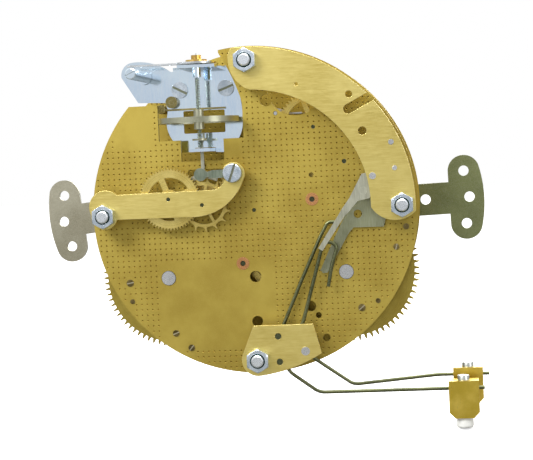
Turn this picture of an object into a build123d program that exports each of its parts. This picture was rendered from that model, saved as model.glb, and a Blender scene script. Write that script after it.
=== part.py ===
"""Round-plate, eight-day, spring-driven striking clock movement with a floating balance.

Millimetres. +X is right and +Z up as the movement is seen from behind, and +Y points to the dial.
The origin is on the hand arbor, where the minute hand sits. Depths along the arbors are written as
heights above the back plate's outer face, positive towards the rear, so a height h is at Y = REAR - h.
"""
import os
from math import atan2, cos, degrees, hypot, pi, radians, sin

from build123d import *

os.makedirs("parts", exist_ok=True)

# ---------------------------------------------------------------- driving dimensions
PLATE_R = 54.0  # radius of both plates
PLATE_T = 1.5  # thickness of both plates
GAP = 25.0  # clear space between the plates
REAR = -42.0  # Y of the back plate's outer face
PILLAR_RING = 49.0  # distance of the four pillars from the centre
STUD_R = 2.0  # M4 pillar studs
SPACER_R = 3.3  # sleeves that carry the bridges
NUT_ACROSS = 7.0  # hexagon, across flats
NUT_T = 3.2
NUT_SINK_R = 2.45  # countersink at the outer end of the nut's thread
NUT_SINK_DEPTH = 0.6
BRIDGE_H = 5.0  # height of the underside of the bridges
BRIDGE_T = 1.5
EAR_T = 1.5
PIVOT_R = 0.5
PIVOT_HOLE_R = 0.65
ARBOR_R = 1.1
CENTRE_ARBOR_R = 1.2  # the centre arbor also runs through the front plate
END_SHAKE = 0.2  # gap between an arbor's shoulders and the plates
WIRE_R = 0.6  # hammer wires

INNER_REAR = -PLATE_T  # inner face of the back plate
INNER_FRONT = INNER_REAR - GAP  # inner face of the front plate
FRONT = INNER_FRONT - PLATE_T  # outer face of the front plate
BRIDGE_TOP = BRIDGE_H + BRIDGE_T

# Arbor places (x, z) and tooth counts
CENTRE = (0.0, 0.0)
SECOND = (-4.5, -17.5)
MIDDLE = (-17.0, -0.1)
THIRD = (-27.4, 4.8)
ESCAPE = (-16.3, 2.5)
LEVER = (-16.3, 12.5)
TIME_BARREL = (-29.6, -21.5)
STRIKE_BARREL = (29.6, -21.5)
STRIKE_2 = (19.3, 2.8)
STRIKE_3 = (30.4, 14.8)
STRIKE_4 = (20.7, 26.5)
FLY = (8.45, 31.5)
MINUTE = (0.0, -12.0)
RACK = (22.0, 11.0)
HAMMER_1 = (6.8, -41.4)
HAMMER_2 = (7.0, -49.8)
TRIP = (39.8, 9.7)
BRIDGE_SCREW = (-5.7, 12.6)

TIME_GREAT, SECOND_LEAVES = 76, 8
SECOND_TEETH, CENTRE_LEAVES = 60, 12
CENTRE_TEETH, MIDDLE_LEAVES = 72, 9
MIDDLE_TEETH, THIRD_LEAVES = 40, 8
THIRD_TEETH, ESCAPE_LEAVES = 60, 8
STRIKE_GREAT, STRIKE_2_LEAVES = 70, 10
STRIKE_2_TEETH, STRIKE_3_LEAVES = 64, 8
STRIKE_3_TEETH, STRIKE_4_LEAVES = 60, 8
STRIKE_4_TEETH, FLY_LEAVES = 56, 8
CANNON_LEAVES, MINUTE_TEETH = 12, 36
MINUTE_LEAVES, HOUR_TEETH = 10, 40

# Wheel heights (low, high)
GREAT_LEVEL = (-10.0, -8.2)
SECOND_LEVEL = (-7.4, -6.2)
CENTRE_LEVEL = (-5.2, -4.2)
MIDDLE_LEVEL = (-3.4, -2.6)
THIRD_LEVEL = (3.3, 4.1)
ESCAPE_LEVEL = (1.3, 1.9)
CANNON_LEVEL = (FRONT - 2.4, FRONT - 1.0)
MINUTE_LEVEL = (FRONT - 2.2, FRONT - 1.2)
HOUR_LEVEL = (FRONT - 4.6, FRONT - 3.6)
RATCHET_LEVEL = (FRONT - 2.0, FRONT - 0.4)

# Floating balance, on an upright axis behind the plate
BALANCE_X = -16.4
BALANCE_H = 3.7
RING_Z = 30.4
RING_R = 13.2
RING_T = 1.8

# Balance bracket
BRACKET_H = -9.2
BRACKET_T = 1.0
SCREW_SPACING = 15.6  # between the two balance-frame screws
BRACKET_SCREW_Z = 40.9
RATING = (-36.2, 46.0)
POST_A = (-26.8, 36.9)
POST_B = (-30.6, 34.7)

# Gear tooth form, in modules and in shares of the tooth pitch
WHEEL_FORM = {"tall": 1.0, "deep": 1.25, "root": 0.50, "pitch": 0.36, "tip": 0.12}
GREAT_FORM = {"tall": 1.25, "deep": 1.25, "root": 0.50, "pitch": 0.36, "tip": 0.14}
PINION_FORM = {"tall": 0.6, "deep": 1.7, "root": 0.34, "pitch": 0.34, "tip": 0.14}


# ---------------------------------------------------------------- helpers
def at(place, height, turn=0.0):
    """Sketch plane parallel to the plates that faces the rear: local x is +X, turned up by turn degrees."""
    x_dir = (cos(radians(turn)), 0, sin(radians(turn)))
    return Plane(origin=(place[0], REAR - height, place[1]), x_dir=x_dir, z_dir=(0, -1, 0))


def level(z, x=BALANCE_X, height=BALANCE_H):
    """Sketch plane that lies flat at Z = z, with its origin on the balance axis."""
    return Plane(origin=(x, REAR - height, z), x_dir=(1, 0, 0), z_dir=(0, 0, 1))


def between(one, other):
    return hypot(other[0] - one[0], other[1] - one[1])


def heading(one, other):
    """Direction from one place to another, in degrees."""
    return degrees(atan2(other[1] - one[1], other[0] - one[0]))


def polar(radius, angle):
    return (radius * cos(radians(angle)), radius * sin(radians(angle)))


def module_for(wheel_place, pinion_place, teeth, leaves):
    return 2 * between(wheel_place, pinion_place) / (teeth + leaves)


def gear_outline(teeth, module, toward, form):
    """Corners of a gear whose first tooth points in the direction toward."""
    pitch_r = teeth * module / 2
    radii = {"root": pitch_r - form["deep"] * module, "pitch": pitch_r, "tip": pitch_r + form["tall"] * module}
    step = 360 / teeth
    corners = []
    for tooth in range(teeth):
        middle = toward + tooth * step
        for name, side in (("root", -1), ("pitch", -1), ("tip", -1), ("tip", 1), ("pitch", 1), ("root", 1)):
            corners.append(polar(radii[name], middle + side * form[name] * step / 2))
    return corners


def disc(place, radius, low, high, mode=Mode.ADD):
    """A round step of an arbor or a round hole, between two heights."""
    with BuildSketch(at(place, low)) as round_face:
        Circle(radius)
    extrude(round_face.sketch, amount=high - low, mode=mode)


def steps(place, sizes):
    """Turned shaft: a list of (radius, low, high)."""
    for radius, low, high in sizes:
        disc(place, radius, low, high)


def wheel(place, teeth, module, toward, span, rim, hub, spokes, spoke_width, form=WHEEL_FORM):
    """A crossed-out wheel: toothed rim, hub and spokes."""
    low, high = span
    with BuildSketch(at(place, low)) as face:
        Polygon(*gear_outline(teeth, module, toward, form), align=None)
        Circle(rim, mode=Mode.SUBTRACT)
        Circle(hub)
        with PolarLocations(0, spokes, start_angle=20):
            Rectangle(rim + 0.3, spoke_width, align=(Align.MIN, Align.CENTER))
    extrude(face.sketch, amount=high - low)


def pinion(place, leaves, module, toward, span):
    """Pinion with a gap, not a leaf, pointing at its wheel."""
    low, high = span
    with BuildSketch(at(place, low)) as face:
        Polygon(*gear_outline(leaves, module, toward + 180 / leaves, PINION_FORM), align=None)
    extrude(face.sketch, amount=high - low)


def wider(span, extra=0.2):
    return (span[0] - extra, span[1] + extra)


def finish(part, name):
    part.label = name
    export_step(part, f"parts/{name}.step")


def slot_cut(place, angle, width, length, low, high):
    """Screwdriver slot across a screw head."""
    with BuildSketch(at(place, low)) as slot:
        with Locations(Location((0, 0), angle)):
            Rectangle(length, width)
    extrude(slot.sketch, amount=high - low, mode=Mode.SUBTRACT)


# ---------------------------------------------------------------- plates and pillars
PILLARS = [(0, PILLAR_RING), (PILLAR_RING, 0), (0, -PILLAR_RING), (-PILLAR_RING, 0)]
BUSHES = [STRIKE_2, SECOND]
BUSH_R = 2.1
BUSH_HOLE_R = 0.9
WINDING_R = 2.3
WINDING_HOLE_R = 2.45
HAMMER_PIVOT_HOLE_R = 1.05

# Small fixings in the back plate: place, radius and, on a screw, slot angle
PLATE_SCREWS = [((34.2, -33.5), 1.2, 40), ((46.3, -13.9), 1.0, 75), ((-42.7, -22.7), 1.2, 10),
                ((-28.0, -40.0), 1.1, 20), ((-23.0, -45.0), 1.1, 50)]
PLATE_RIVETS = [((49.8, -7.4), 1.0), ((39.6, -31.4), 0.8), ((-42.2, -28.9), 0.8)]
SCREW_STAND = 0.25  # how far a fixing stands proud of the plate
REAR_PIVOT_HOLES = [(CENTRE, PIVOT_HOLE_R), (MIDDLE, PIVOT_HOLE_R), (ESCAPE, PIVOT_HOLE_R),
                    (STRIKE_3, 0.75), (STRIKE_4, PIVOT_HOLE_R), (FLY, 0.7)]
SPARE_HOLES = [((19.4, 10.8), 0.8), ((-0.5, -22.0), 1.9), ((-0.5, -36.9), 1.8), ((17.4, -32.4), 1.75),
               ((19.9, -35.5), 1.0), ((22.2, -43.0), 1.25), ((5.5, 35.9), 2.0), ((15.3, 39.8), 9.3),
               (THIRD, 1.5)]

with BuildPart() as back_plate:
    with BuildSketch(at(CENTRE, INNER_REAR)):
        Circle(PLATE_R)
        with BuildSketch(mode=Mode.SUBTRACT):
            with BuildLine():
                Polyline((-60, 60), (-60, 35.9), (-30.7, 35.9), (-30.7, 24.0), (-23.4, 24.0), (-23.4, 16.9),
                         (-9.1, 16.9), (-9.1, 24.0), (-2.4, 24.0), (-2.4, 35.6))
                ThreePointArc((-2.4, 35.6), (-5.3, 43.9), (-9.6, 52.2))
                Polyline((-9.6, 52.2), (-9.6, 60), (-60, 60))
            make_face()
        with BuildSketch(mode=Mode.SUBTRACT):
            with Locations((-15.5, 10.4)):
                RectangleRounded(12.2, 7.6, 1.2)
    extrude(amount=PLATE_T)
    for place in PILLARS:
        disc(place, STUD_R + 0.1, INNER_REAR, 0, Mode.SUBTRACT)
    for place in BUSHES:
        disc(place, BUSH_R, INNER_REAR, 0, Mode.SUBTRACT)
    for place in (TIME_BARREL, STRIKE_BARREL):
        disc(place, WINDING_HOLE_R, INNER_REAR, 0, Mode.SUBTRACT)
    for place in (HAMMER_1, HAMMER_2):
        disc(place, HAMMER_PIVOT_HOLE_R, INNER_REAR, 0, Mode.SUBTRACT)
    for place, radius in REAR_PIVOT_HOLES + SPARE_HOLES:
        disc(place, radius, INNER_REAR, 0, Mode.SUBTRACT)
    for place, radius in [screw[:2] for screw in PLATE_SCREWS] + PLATE_RIVETS:
        disc(place, radius, INNER_REAR, 0, Mode.SUBTRACT)
    disc(TRIP, 1.1, INNER_REAR, 0, Mode.SUBTRACT)
finish(back_plate.part, "back_plate")

FRONT_PIVOT_HOLES = [(SECOND, 0.9), (MIDDLE, PIVOT_HOLE_R), (THIRD, PIVOT_HOLE_R), (LEVER, PIVOT_HOLE_R),
                     (STRIKE_2, 0.9), (STRIKE_3, 0.75), (STRIKE_4, PIVOT_HOLE_R), (FLY, 0.7),
                     (CENTRE, CENTRE_ARBOR_R + 0.12), (MINUTE, 0.95), (RACK, 1.2)]
CLICK_DISTANCE = 11.2
CLICK_ANGLES = {"time": 120.0, "strike": 60.0}

with BuildPart() as front_plate:
    with BuildSketch(at(CENTRE, FRONT)):
        Circle(PLATE_R)
    extrude(amount=PLATE_T)
    for place in PILLARS:
        disc(place, STUD_R + 0.1, FRONT, INNER_FRONT, Mode.SUBTRACT)
    for place in (TIME_BARREL, STRIKE_BARREL):
        disc(place, WINDING_HOLE_R, FRONT, INNER_FRONT, Mode.SUBTRACT)
    for place, radius in FRONT_PIVOT_HOLES:
        disc(place, radius, FRONT, INNER_FRONT, Mode.SUBTRACT)
    for side, barrel in (("time", TIME_BARREL), ("strike", STRIKE_BARREL)):
        dx, dz = polar(CLICK_DISTANCE, CLICK_ANGLES[side])
        disc((barrel[0] + dx, barrel[1] + dz), 1.05, FRONT, INNER_FRONT, Mode.SUBTRACT)
finish(front_plate.part, "front_plate")

REAR_NUT_H = BRIDGE_TOP
STUD_END = BRIDGE_TOP + NUT_T + 1.0
with BuildPart() as pillars:
    for place in PILLARS:
        ear_extra = EAR_T if place[1] == 0 else 0
        disc(place, 3.5, INNER_FRONT, INNER_REAR)
        disc(place, STUD_R, INNER_REAR, STUD_END)
        disc(place, STUD_R, FRONT - NUT_T - 1.0 - ear_extra, INNER_FRONT)
    chamfer(pillars.faces().sort_by(Axis.Y)[0:4].edges(), 0.4)
    chamfer(pillars.faces().sort_by(Axis.Y)[-2:].edges(), 0.4)
finish(pillars.part, "pillars")

with BuildPart() as bridge_spacers:
    for place in PILLARS:
        with BuildSketch(at(place, 0)):
            Circle(SPACER_R)
            Circle(STUD_R + 0.05, mode=Mode.SUBTRACT)
        extrude(amount=BRIDGE_H)
    with BuildSketch(at(BRIDGE_SCREW, 0)):
        Circle(2.6)
        Circle(1.5, mode=Mode.SUBTRACT)
    extrude(amount=BRIDGE_H)
finish(bridge_spacers.part, "bridge_spacers")


def nut(place, low, high):
    """Hexagon nut with chamfered corners and one corner pointing up."""
    corner_r = NUT_ACROSS / 2 / cos(pi / 6)
    with BuildSketch(at(place, low)) as hexagon:
        RegularPolygon(corner_r, 6, rotation=90)
    extrude(hexagon.sketch, amount=high - low)
    disc(place, STUD_R + 0.03, low, high, Mode.SUBTRACT)
    disc(place, NUT_SINK_R, high - NUT_SINK_DEPTH, high, Mode.SUBTRACT)
    side = corner_r + 0.3
    with BuildSketch(Plane(origin=(place[0], REAR - high, place[1]), x_dir=(1, 0, 0), z_dir=(0, 0, 1))) as corner:
        Polygon((NUT_ACROSS / 2, -0.01), (side, -0.01), (side, (side - NUT_ACROSS / 2) * 0.6), align=None)
    revolve(corner.sketch, axis=Axis((place[0], 0, place[1]), (0, 1, 0)), mode=Mode.SUBTRACT)


with BuildPart() as pillar_nuts:
    for place in PILLARS:
        nut(place, REAR_NUT_H, REAR_NUT_H + NUT_T)
        seat = FRONT - (EAR_T if place[1] == 0 else 0)
        disc(place, 3.6, seat - NUT_T, seat)
        disc(place, STUD_R + 0.03, seat - NUT_T, seat, Mode.SUBTRACT)
finish(pillar_nuts.part, "pillar_nuts")

with BuildPart() as arbor_bushes:
    for place in BUSHES:
        with BuildSketch(at(place, INNER_REAR)):
            Circle(BUSH_R)
            Circle(BUSH_HOLE_R, mode=Mode.SUBTRACT)
        extrude(amount=PLATE_T + 0.15)
finish(arbor_bushes.part, "arbor_bushes")

with BuildPart() as plate_screws:
    for place, radius in [screw[:2] for screw in PLATE_SCREWS] + PLATE_RIVETS:
        disc(place, radius - 0.02, INNER_REAR, SCREW_STAND)
    for place, _, angle in PLATE_SCREWS:
        slot_cut(place, angle, 0.35, 3.0, SCREW_STAND - 0.35, SCREW_STAND)
finish(plate_screws.part, "plate_screws")

# ---------------------------------------------------------------- mounting ears
EAR_HEAD = 20.5  # outer pair of holes, from the pillar
EAR_MIDDLE = 22.0
EAR_INNER = 7.0
EAR_HOLE_R = 1.75
EAR_PAIR = 18.0
EAR_LOBE_R = 5.4
EAR_NECK = 10.9
EAR_EDGE = 27.0
EAR_TILT = {"left": -174.0, "right": 1.5}


def ear(place, tilt):
    """Kidney-headed steel lug on a pillar stud, drawn pointing along local x."""
    lobe_y = EAR_PAIR / 2
    inner_x = EAR_HEAD - EAR_LOBE_R
    rise_x, rise_y = polar(EAR_LOBE_R, 20)
    outer = (EAR_HEAD + rise_x, lobe_y + rise_y)
    over_x, over_y = polar(EAR_LOBE_R, 100)
    with BuildPart() as lug:
        with BuildSketch(at(place, FRONT - EAR_T, tilt)):
            with BuildLine():
                ThreePointArc((0, -EAR_NECK / 2), (-EAR_NECK / 2, 0), (0, EAR_NECK / 2))
                Line((0, EAR_NECK / 2), (inner_x, EAR_NECK / 2))
                Line((inner_x, EAR_NECK / 2), (inner_x, lobe_y))
                ThreePointArc((inner_x, lobe_y), (EAR_HEAD + over_x, lobe_y + over_y), outer)
                ThreePointArc(outer, (EAR_EDGE, 0), (outer[0], -outer[1]))
                ThreePointArc((outer[0], -outer[1]), (EAR_HEAD + over_x, -lobe_y - over_y), (inner_x, -lobe_y))
                Line((inner_x, -lobe_y), (inner_x, -EAR_NECK / 2))
                Line((inner_x, -EAR_NECK / 2), (0, -EAR_NECK / 2))
            make_face()
            Circle(STUD_R + 0.1, mode=Mode.SUBTRACT)
            with Locations((EAR_HEAD, lobe_y), (EAR_HEAD, -lobe_y), (EAR_MIDDLE, 0), (EAR_INNER, 0)):
                Circle(EAR_HOLE_R, mode=Mode.SUBTRACT)
        extrude(amount=EAR_T)
    return lug.part


finish(ear(PILLARS[3], EAR_TILT["left"]), "mounting_ear_left")
finish(ear(PILLARS[1], EAR_TILT["right"]), "mounting_ear_right")

# ---------------------------------------------------------------- escapement bridge, its screw and the lever cock
COCK_T = 0.6
with BuildPart() as escapement_bridge:
    with BuildSketch(at(CENTRE, BRIDGE_H)):
        with BuildLine():
            Line((-45.0, -1.15), (-18.9, -1.3))
            ThreePointArc((-18.9, -1.3), (-8.6, 2.1), (-2.3, 10.4))
            ThreePointArc((-2.3, 10.4), (-3.6, 15.5), (-8.6, 14.6))
            ThreePointArc((-8.6, 14.6), (-9.3, 9.0), (-12.6, 7.3))
            Line((-12.6, 7.3), (-44.6, 7.05))
            ThreePointArc((-44.6, 7.05), (-53.3, 0.6), (-45.0, -1.15))
        make_face()
        with Locations(PILLARS[3]):
            Circle(4.3)
    extrude(amount=BRIDGE_T)
    disc(PILLARS[3], STUD_R + 0.05, BRIDGE_H, BRIDGE_TOP, Mode.SUBTRACT)
    disc(BRIDGE_SCREW, 1.5, BRIDGE_H, BRIDGE_TOP, Mode.SUBTRACT)
    for place in (THIRD, ESCAPE):
        disc(place, PIVOT_HOLE_R, BRIDGE_H, BRIDGE_TOP, Mode.SUBTRACT)
finish(escapement_bridge.part, "escapement_bridge")

with BuildPart() as lever_cock:
    with BuildSketch(at(CENTRE, BRIDGE_TOP)):
        with Locations(LEVER):
            Circle(2.1)
        with Locations(BRIDGE_SCREW):
            Circle(2.6)
        with BuildLine():
            Polyline((-16.3, 11.4), (-13.9, 11.7), (-12.4, 11.2), (-5.7, 11.3), (-5.7, 13.9), (-12.4, 13.8),
                     (-13.9, 13.3), (-16.3, 13.6), close=True)
        make_face()
    extrude(amount=COCK_T)
    disc(BRIDGE_SCREW, 1.5, BRIDGE_TOP, BRIDGE_TOP + COCK_T, Mode.SUBTRACT)
    disc(LEVER, PIVOT_HOLE_R, BRIDGE_TOP, BRIDGE_TOP + 0.4, Mode.SUBTRACT)
finish(lever_cock.part, "lever_cock")

with BuildPart() as bridge_screw:
    head_low = BRIDGE_TOP + COCK_T
    disc(BRIDGE_SCREW, 1.45, 0, head_low)
    disc(BRIDGE_SCREW, 3.1, head_low, head_low + 1.6)
    chamfer(bridge_screw.faces().sort_by(Axis.Y)[0].edges(), 0.3)
    slot_cut(BRIDGE_SCREW, 70, 0.8, 7.0, head_low + 0.9, head_low + 1.6)
finish(bridge_screw.part, "bridge_screw")

# ---------------------------------------------------------------- strike bridge and hammer bracket
SLOT_MOUTH = (41.0, 35.8)
SLOT_END = (32.8, 31.6)
with BuildPart() as strike_bridge:
    with BuildSketch(at(CENTRE, BRIDGE_H)):
        with BuildLine():
            ThreePointArc((-5.6, 48.9), (-3.4, 42.7), (0.9, 39.4))
            ThreePointArc((0.9, 39.4), (27.9, 27.7), (38.9, -0.4))
            ThreePointArc((38.9, -0.4), (46.3, -4.9), (53.3, -2.2))
            ThreePointArc((53.3, -2.2), polar(53.4, 45), (-4.4, 53.2))
            ThreePointArc((-4.4, 53.2), (-5.5, 51.2), (-5.6, 48.9))
        make_face()
        slot_run = between(SLOT_END, SLOT_MOUTH)
        middle = ((SLOT_MOUTH[0] + SLOT_END[0]) / 2, (SLOT_MOUTH[1] + SLOT_END[1]) / 2)
        with Locations(Location(middle, heading(SLOT_END, SLOT_MOUTH))):
            SlotCenterToCenter(slot_run, 3.1, mode=Mode.SUBTRACT)
    extrude(amount=BRIDGE_T)
    for place in PILLARS[0:2]:
        disc(place, STUD_R + 0.05, BRIDGE_H, BRIDGE_TOP, Mode.SUBTRACT)
    for place, radius in (((16.3, 40.4), 0.6), ((33.2, 36.4), 1.15), ((37.1, 24.4), 1.35), (TRIP, 1.1),
                          ((46.2, 20.4), 0.9), ((47.0, 12.0), 0.8)):
        disc(place, radius, BRIDGE_H, BRIDGE_TOP, Mode.SUBTRACT)
finish(strike_bridge.part, "strike_bridge")

with BuildPart() as hammer_bracket:
    with BuildSketch(at(CENTRE, BRIDGE_H)):
        with BuildLine():
            Polyline((-5.4, -47.9), (-4.3, -45.1), (-1.2, -37.7), (18.4, -37.7), (20.2, -44.8), (20.8, -47.4))
            ThreePointArc((20.8, -47.4), (11.0, -51.9), (0.8, -54.2))
            ThreePointArc((0.8, -54.2), (-4.2, -52.4), (-5.4, -47.9))
        make_face()
    extrude(amount=BRIDGE_T)
    disc(PILLARS[2], STUD_R + 0.05, BRIDGE_H, BRIDGE_TOP, Mode.SUBTRACT)
    disc((15.6, -46.5), 1.4, BRIDGE_H, BRIDGE_TOP, Mode.SUBTRACT)
    for place in (HAMMER_1, HAMMER_2):
        disc(place, HAMMER_PIVOT_HOLE_R, BRIDGE_H, BRIDGE_TOP, Mode.SUBTRACT)
finish(hammer_bracket.part, "hammer_bracket")

with BuildPart() as bridge_rivets:
    disc(TRIP, 1.1, INNER_REAR, BRIDGE_TOP + 0.2)
    for place, radius in (((46.2, 20.4), 0.9), ((47.0, 12.0), 0.8), ((15.6, -46.5), 1.4)):
        disc(place, radius, BRIDGE_H - 0.4, BRIDGE_TOP + 0.2)
finish(bridge_rivets.part, "bridge_rivets")

# ---------------------------------------------------------------- balance bracket and what it carries
BRACKET_TOP = BRACKET_H + BRACKET_T
TAB_HALF = 3.4
with BuildPart() as balance_bracket:
    with BuildSketch(at(CENTRE, BRACKET_H)):
        with BuildLine():
            Polyline((-43.9, 46.0), (-38.6, 37.3), (-29.4, 36.9), (-28.6, 34.6), (-29.3, 30.2))
            ThreePointArc((-29.3, 30.2), (-27.2, 23.9), (-22.5, 20.2))
            Line((-22.5, 20.2), (-10.4, 19.6))
            ThreePointArc((-10.4, 19.6), (-4.7, 24.6), (-3.5, 30.9))
            ThreePointArc((-3.5, 30.9), (-4.5, 39.8), (-8.2, 47.3))
            Line((-8.2, 47.3), (-27.1, 47.2))
            ThreePointArc((-27.1, 47.2), (-33.2, 50.3), (-40.4, 50.9))
            ThreePointArc((-40.4, 50.9), (-43.1, 49.2), (-43.9, 46.0))
        make_face()
        with BuildSketch(mode=Mode.SUBTRACT):
            with Locations((BALANCE_X, 30.05)):
                RectangleRounded(14.0, 7.6, 0.5)
        with BuildSketch(mode=Mode.SUBTRACT):
            with Locations((BALANCE_X, 19.9)):
                Rectangle(2 * TAB_HALF + 0.2, 3.0)
    extrude(amount=BRACKET_T)
    disc(RATING, 1.6, BRACKET_H, BRACKET_TOP, Mode.SUBTRACT)
    for side in (-1, 1):
        disc((BALANCE_X + side * SCREW_SPACING / 2, BRACKET_SCREW_Z), 1.3, BRACKET_H, BRACKET_TOP, Mode.SUBTRACT)
finish(balance_bracket.part, "balance_bracket")

FRAME_T = 1.2
FRAME_LOW = BRACKET_H - FRAME_T
TAB_REACH = BALANCE_H + 2.2
LOWER_TAB_Z = 20.0
UPPER_TAB_Z = 47.5
TAB_T = 1.0
COLLAR_Z = 44.4
with BuildPart() as balance_frame:
    with BuildSketch(at((BALANCE_X, 0), FRAME_LOW)):
        with Locations((0, (LOWER_TAB_Z + UPPER_TAB_Z + TAB_T) / 2)):
            Rectangle(20.0, UPPER_TAB_Z + TAB_T - LOWER_TAB_Z)
        with Locations((0, 28.6)):
            Rectangle(15.2, 14.8, mode=Mode.SUBTRACT)
    extrude(amount=FRAME_T)
    for z, half in ((LOWER_TAB_Z, TAB_HALF), (UPPER_TAB_Z, 6.2)):
        with BuildSketch(level(z)):
            with Locations((0, (BALANCE_H - BRACKET_H) / 2 - 1.1)):
                Rectangle(2 * half, TAB_REACH - BRACKET_H)
        extrude(amount=TAB_T)
    with BuildSketch(level(COLLAR_Z)):
        Circle(1.3)
    extrude(amount=UPPER_TAB_Z - COLLAR_Z)
    with BuildSketch(level(COLLAR_Z)):
        Circle(0.35)
    extrude(amount=8, mode=Mode.SUBTRACT)
    with BuildSketch(level(LOWER_TAB_Z)):
        Circle(0.35)
    extrude(amount=TAB_T, mode=Mode.SUBTRACT)
    with BuildSketch(level(LOWER_TAB_Z, height=0.6)):
        Rectangle(3.2, 1.9)
    extrude(amount=TAB_T, mode=Mode.SUBTRACT)
    for side in (-1, 1):
        disc((BALANCE_X + side * SCREW_SPACING / 2, BRACKET_SCREW_Z), 1.3, FRAME_LOW, BRACKET_H, Mode.SUBTRACT)
finish(balance_frame.part, "balance_frame")

with BuildPart() as bracket_screws:
    for side, angle in ((-1, -28), (1, 20)):
        place = (BALANCE_X + side * SCREW_SPACING / 2, BRACKET_SCREW_Z)
        disc(place, 1.25, FRAME_LOW, BRACKET_TOP)
        disc(place, 2.7, BRACKET_TOP, BRACKET_TOP + 1.2)
        slot_cut(place, angle, 0.8, 7.0, BRACKET_TOP + 0.6, BRACKET_TOP + 1.2)
finish(bracket_screws.part, "bracket_screws")

with BuildPart() as bracket_posts:
    disc((-33.0, 42.0), 2.2, INNER_FRONT, BRACKET_H)
    disc((-5.0, 31.0), 1.2, INNER_FRONT, BRACKET_H)
    disc(POST_A, 2.0, BRACKET_TOP, BRACKET_TOP + 3.0)
    disc(POST_A, 0.8, BRACKET_TOP + 3.0, BRACKET_TOP + 3.3)
    disc(POST_B, 1.5, INNER_FRONT, BRACKET_TOP + 2.4)
    with BuildSketch(at((-29.2, 34.4), BRACKET_TOP + 0.6)):
        Rectangle(20.2, 0.6, align=(Align.MIN, Align.CENTER))
    extrude(amount=0.8)
finish(bracket_posts.part, "bracket_posts")

WIRE_TOP = 52.4
with BuildPart() as suspension_wire:
    with BuildSketch(level(LOWER_TAB_Z - 0.6)):
        Circle(0.12)
    extrude(amount=WIRE_TOP - LOWER_TAB_Z + 0.4)
finish(suspension_wire.part, "suspension_wire")

REGULATOR_Z = UPPER_TAB_Z + TAB_T + 0.2
with BuildPart() as regulator_lever:
    with BuildSketch(level(REGULATOR_Z)):
        Circle(6.5)
        with BuildLine():
            Polyline((0, -1.6), (0, 1.6), (-19.0, 0.9), (-23.0, 0.9), (-23.0, -0.9), (-19.0, -0.9), close=True)
        make_face()
    extrude(amount=0.6)
    with BuildSketch(level(REGULATOR_Z + 0.6)):
        Circle(3.5)
    extrude(amount=0.8)
    with BuildSketch(level(REGULATOR_Z + 1.4)):
        Circle(1.65)
    extrude(amount=1.5)
    with BuildSketch(level(REGULATOR_Z)):
        Circle(0.35)
    extrude(amount=4, mode=Mode.SUBTRACT)
finish(regulator_lever.part, "regulator_lever")

RATING_END = 15.8
with BuildPart() as rating_screw:
    steps(RATING, [(2.1, BRACKET_H - 1.8, BRACKET_H - 0.2), (1.4, BRACKET_H - 0.2, BRACKET_TOP + 0.2),
                   (2.7, BRACKET_TOP + 0.2, BRACKET_TOP + 1.9), (1.85, BRACKET_TOP + 1.9, RATING_END)])
    chamfer(rating_screw.faces().sort_by(Axis.Y)[0].edges(), 0.35)
    slot_cut(RATING, 25, 0.6, 5.0, RATING_END - 0.9, RATING_END)
finish(rating_screw.part, "rating_screw")

# ---------------------------------------------------------------- balance
HUB_LOW, HUB_HIGH = 27.4, 33.8
with BuildPart() as balance_wheel:
    with BuildSketch(level(RING_Z - RING_T / 2)):
        Circle(RING_R)
        Circle(RING_R - 1.8, mode=Mode.SUBTRACT)
    extrude(amount=RING_T)
    with BuildSketch(level(RING_Z - 0.4)):
        Rectangle(2 * RING_R - 2.0, 1.6)
    extrude(amount=0.8)
    with BuildSketch(level(HUB_LOW)):
        Circle(1.65)
    extrude(amount=HUB_HIGH - HUB_LOW)
    with BuildSketch(level(HUB_LOW)):
        Circle(0.35)
    extrude(amount=HUB_HIGH - HUB_LOW, mode=Mode.SUBTRACT)
finish(balance_wheel.part, "balance_wheel")

ROLLER_Z = 24.0
with BuildPart() as balance_hairspring:
    for low, high in ((LOWER_TAB_Z + TAB_T + 0.3, ROLLER_Z - 0.3), (ROLLER_Z + 0.3, HUB_LOW),
                      (HUB_HIGH, COLLAR_Z - 0.2)):
        with BuildSketch(level(low)):
            Circle(0.8)
            Circle(0.45, mode=Mode.SUBTRACT)
        extrude(amount=high - low)
finish(balance_hairspring.part, "balance_hairspring")

with BuildPart() as balance_roller:
    with BuildSketch(level(ROLLER_Z - 0.3)):
        Circle(2.45)
        Circle(0.35, mode=Mode.SUBTRACT)
    extrude(amount=0.6)
    with BuildSketch(Plane(origin=(BALANCE_X, REAR - BALANCE_H + 2.3, ROLLER_Z), z_dir=(0, 1, 0))):
        Circle(0.2)
    extrude(amount=0.3)
finish(balance_roller.part, "balance_roller")

# ---------------------------------------------------------------- going train
SHOULDER_REAR = INNER_REAR - END_SHAKE
SHOULDER_FRONT = INNER_FRONT + END_SHAKE
PIVOT_REAR = -0.3
PIVOT_FRONT = FRONT + 0.3


def plain_arbor(place, body=ARBOR_R, tip=PIVOT_R):
    """Arbor between the plates, with a pivot at each end."""
    steps(place, [(body, SHOULDER_FRONT, SHOULDER_REAR), (tip, SHOULDER_REAR, PIVOT_REAR),
                  (tip, PIVOT_FRONT, SHOULDER_FRONT)])


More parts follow.
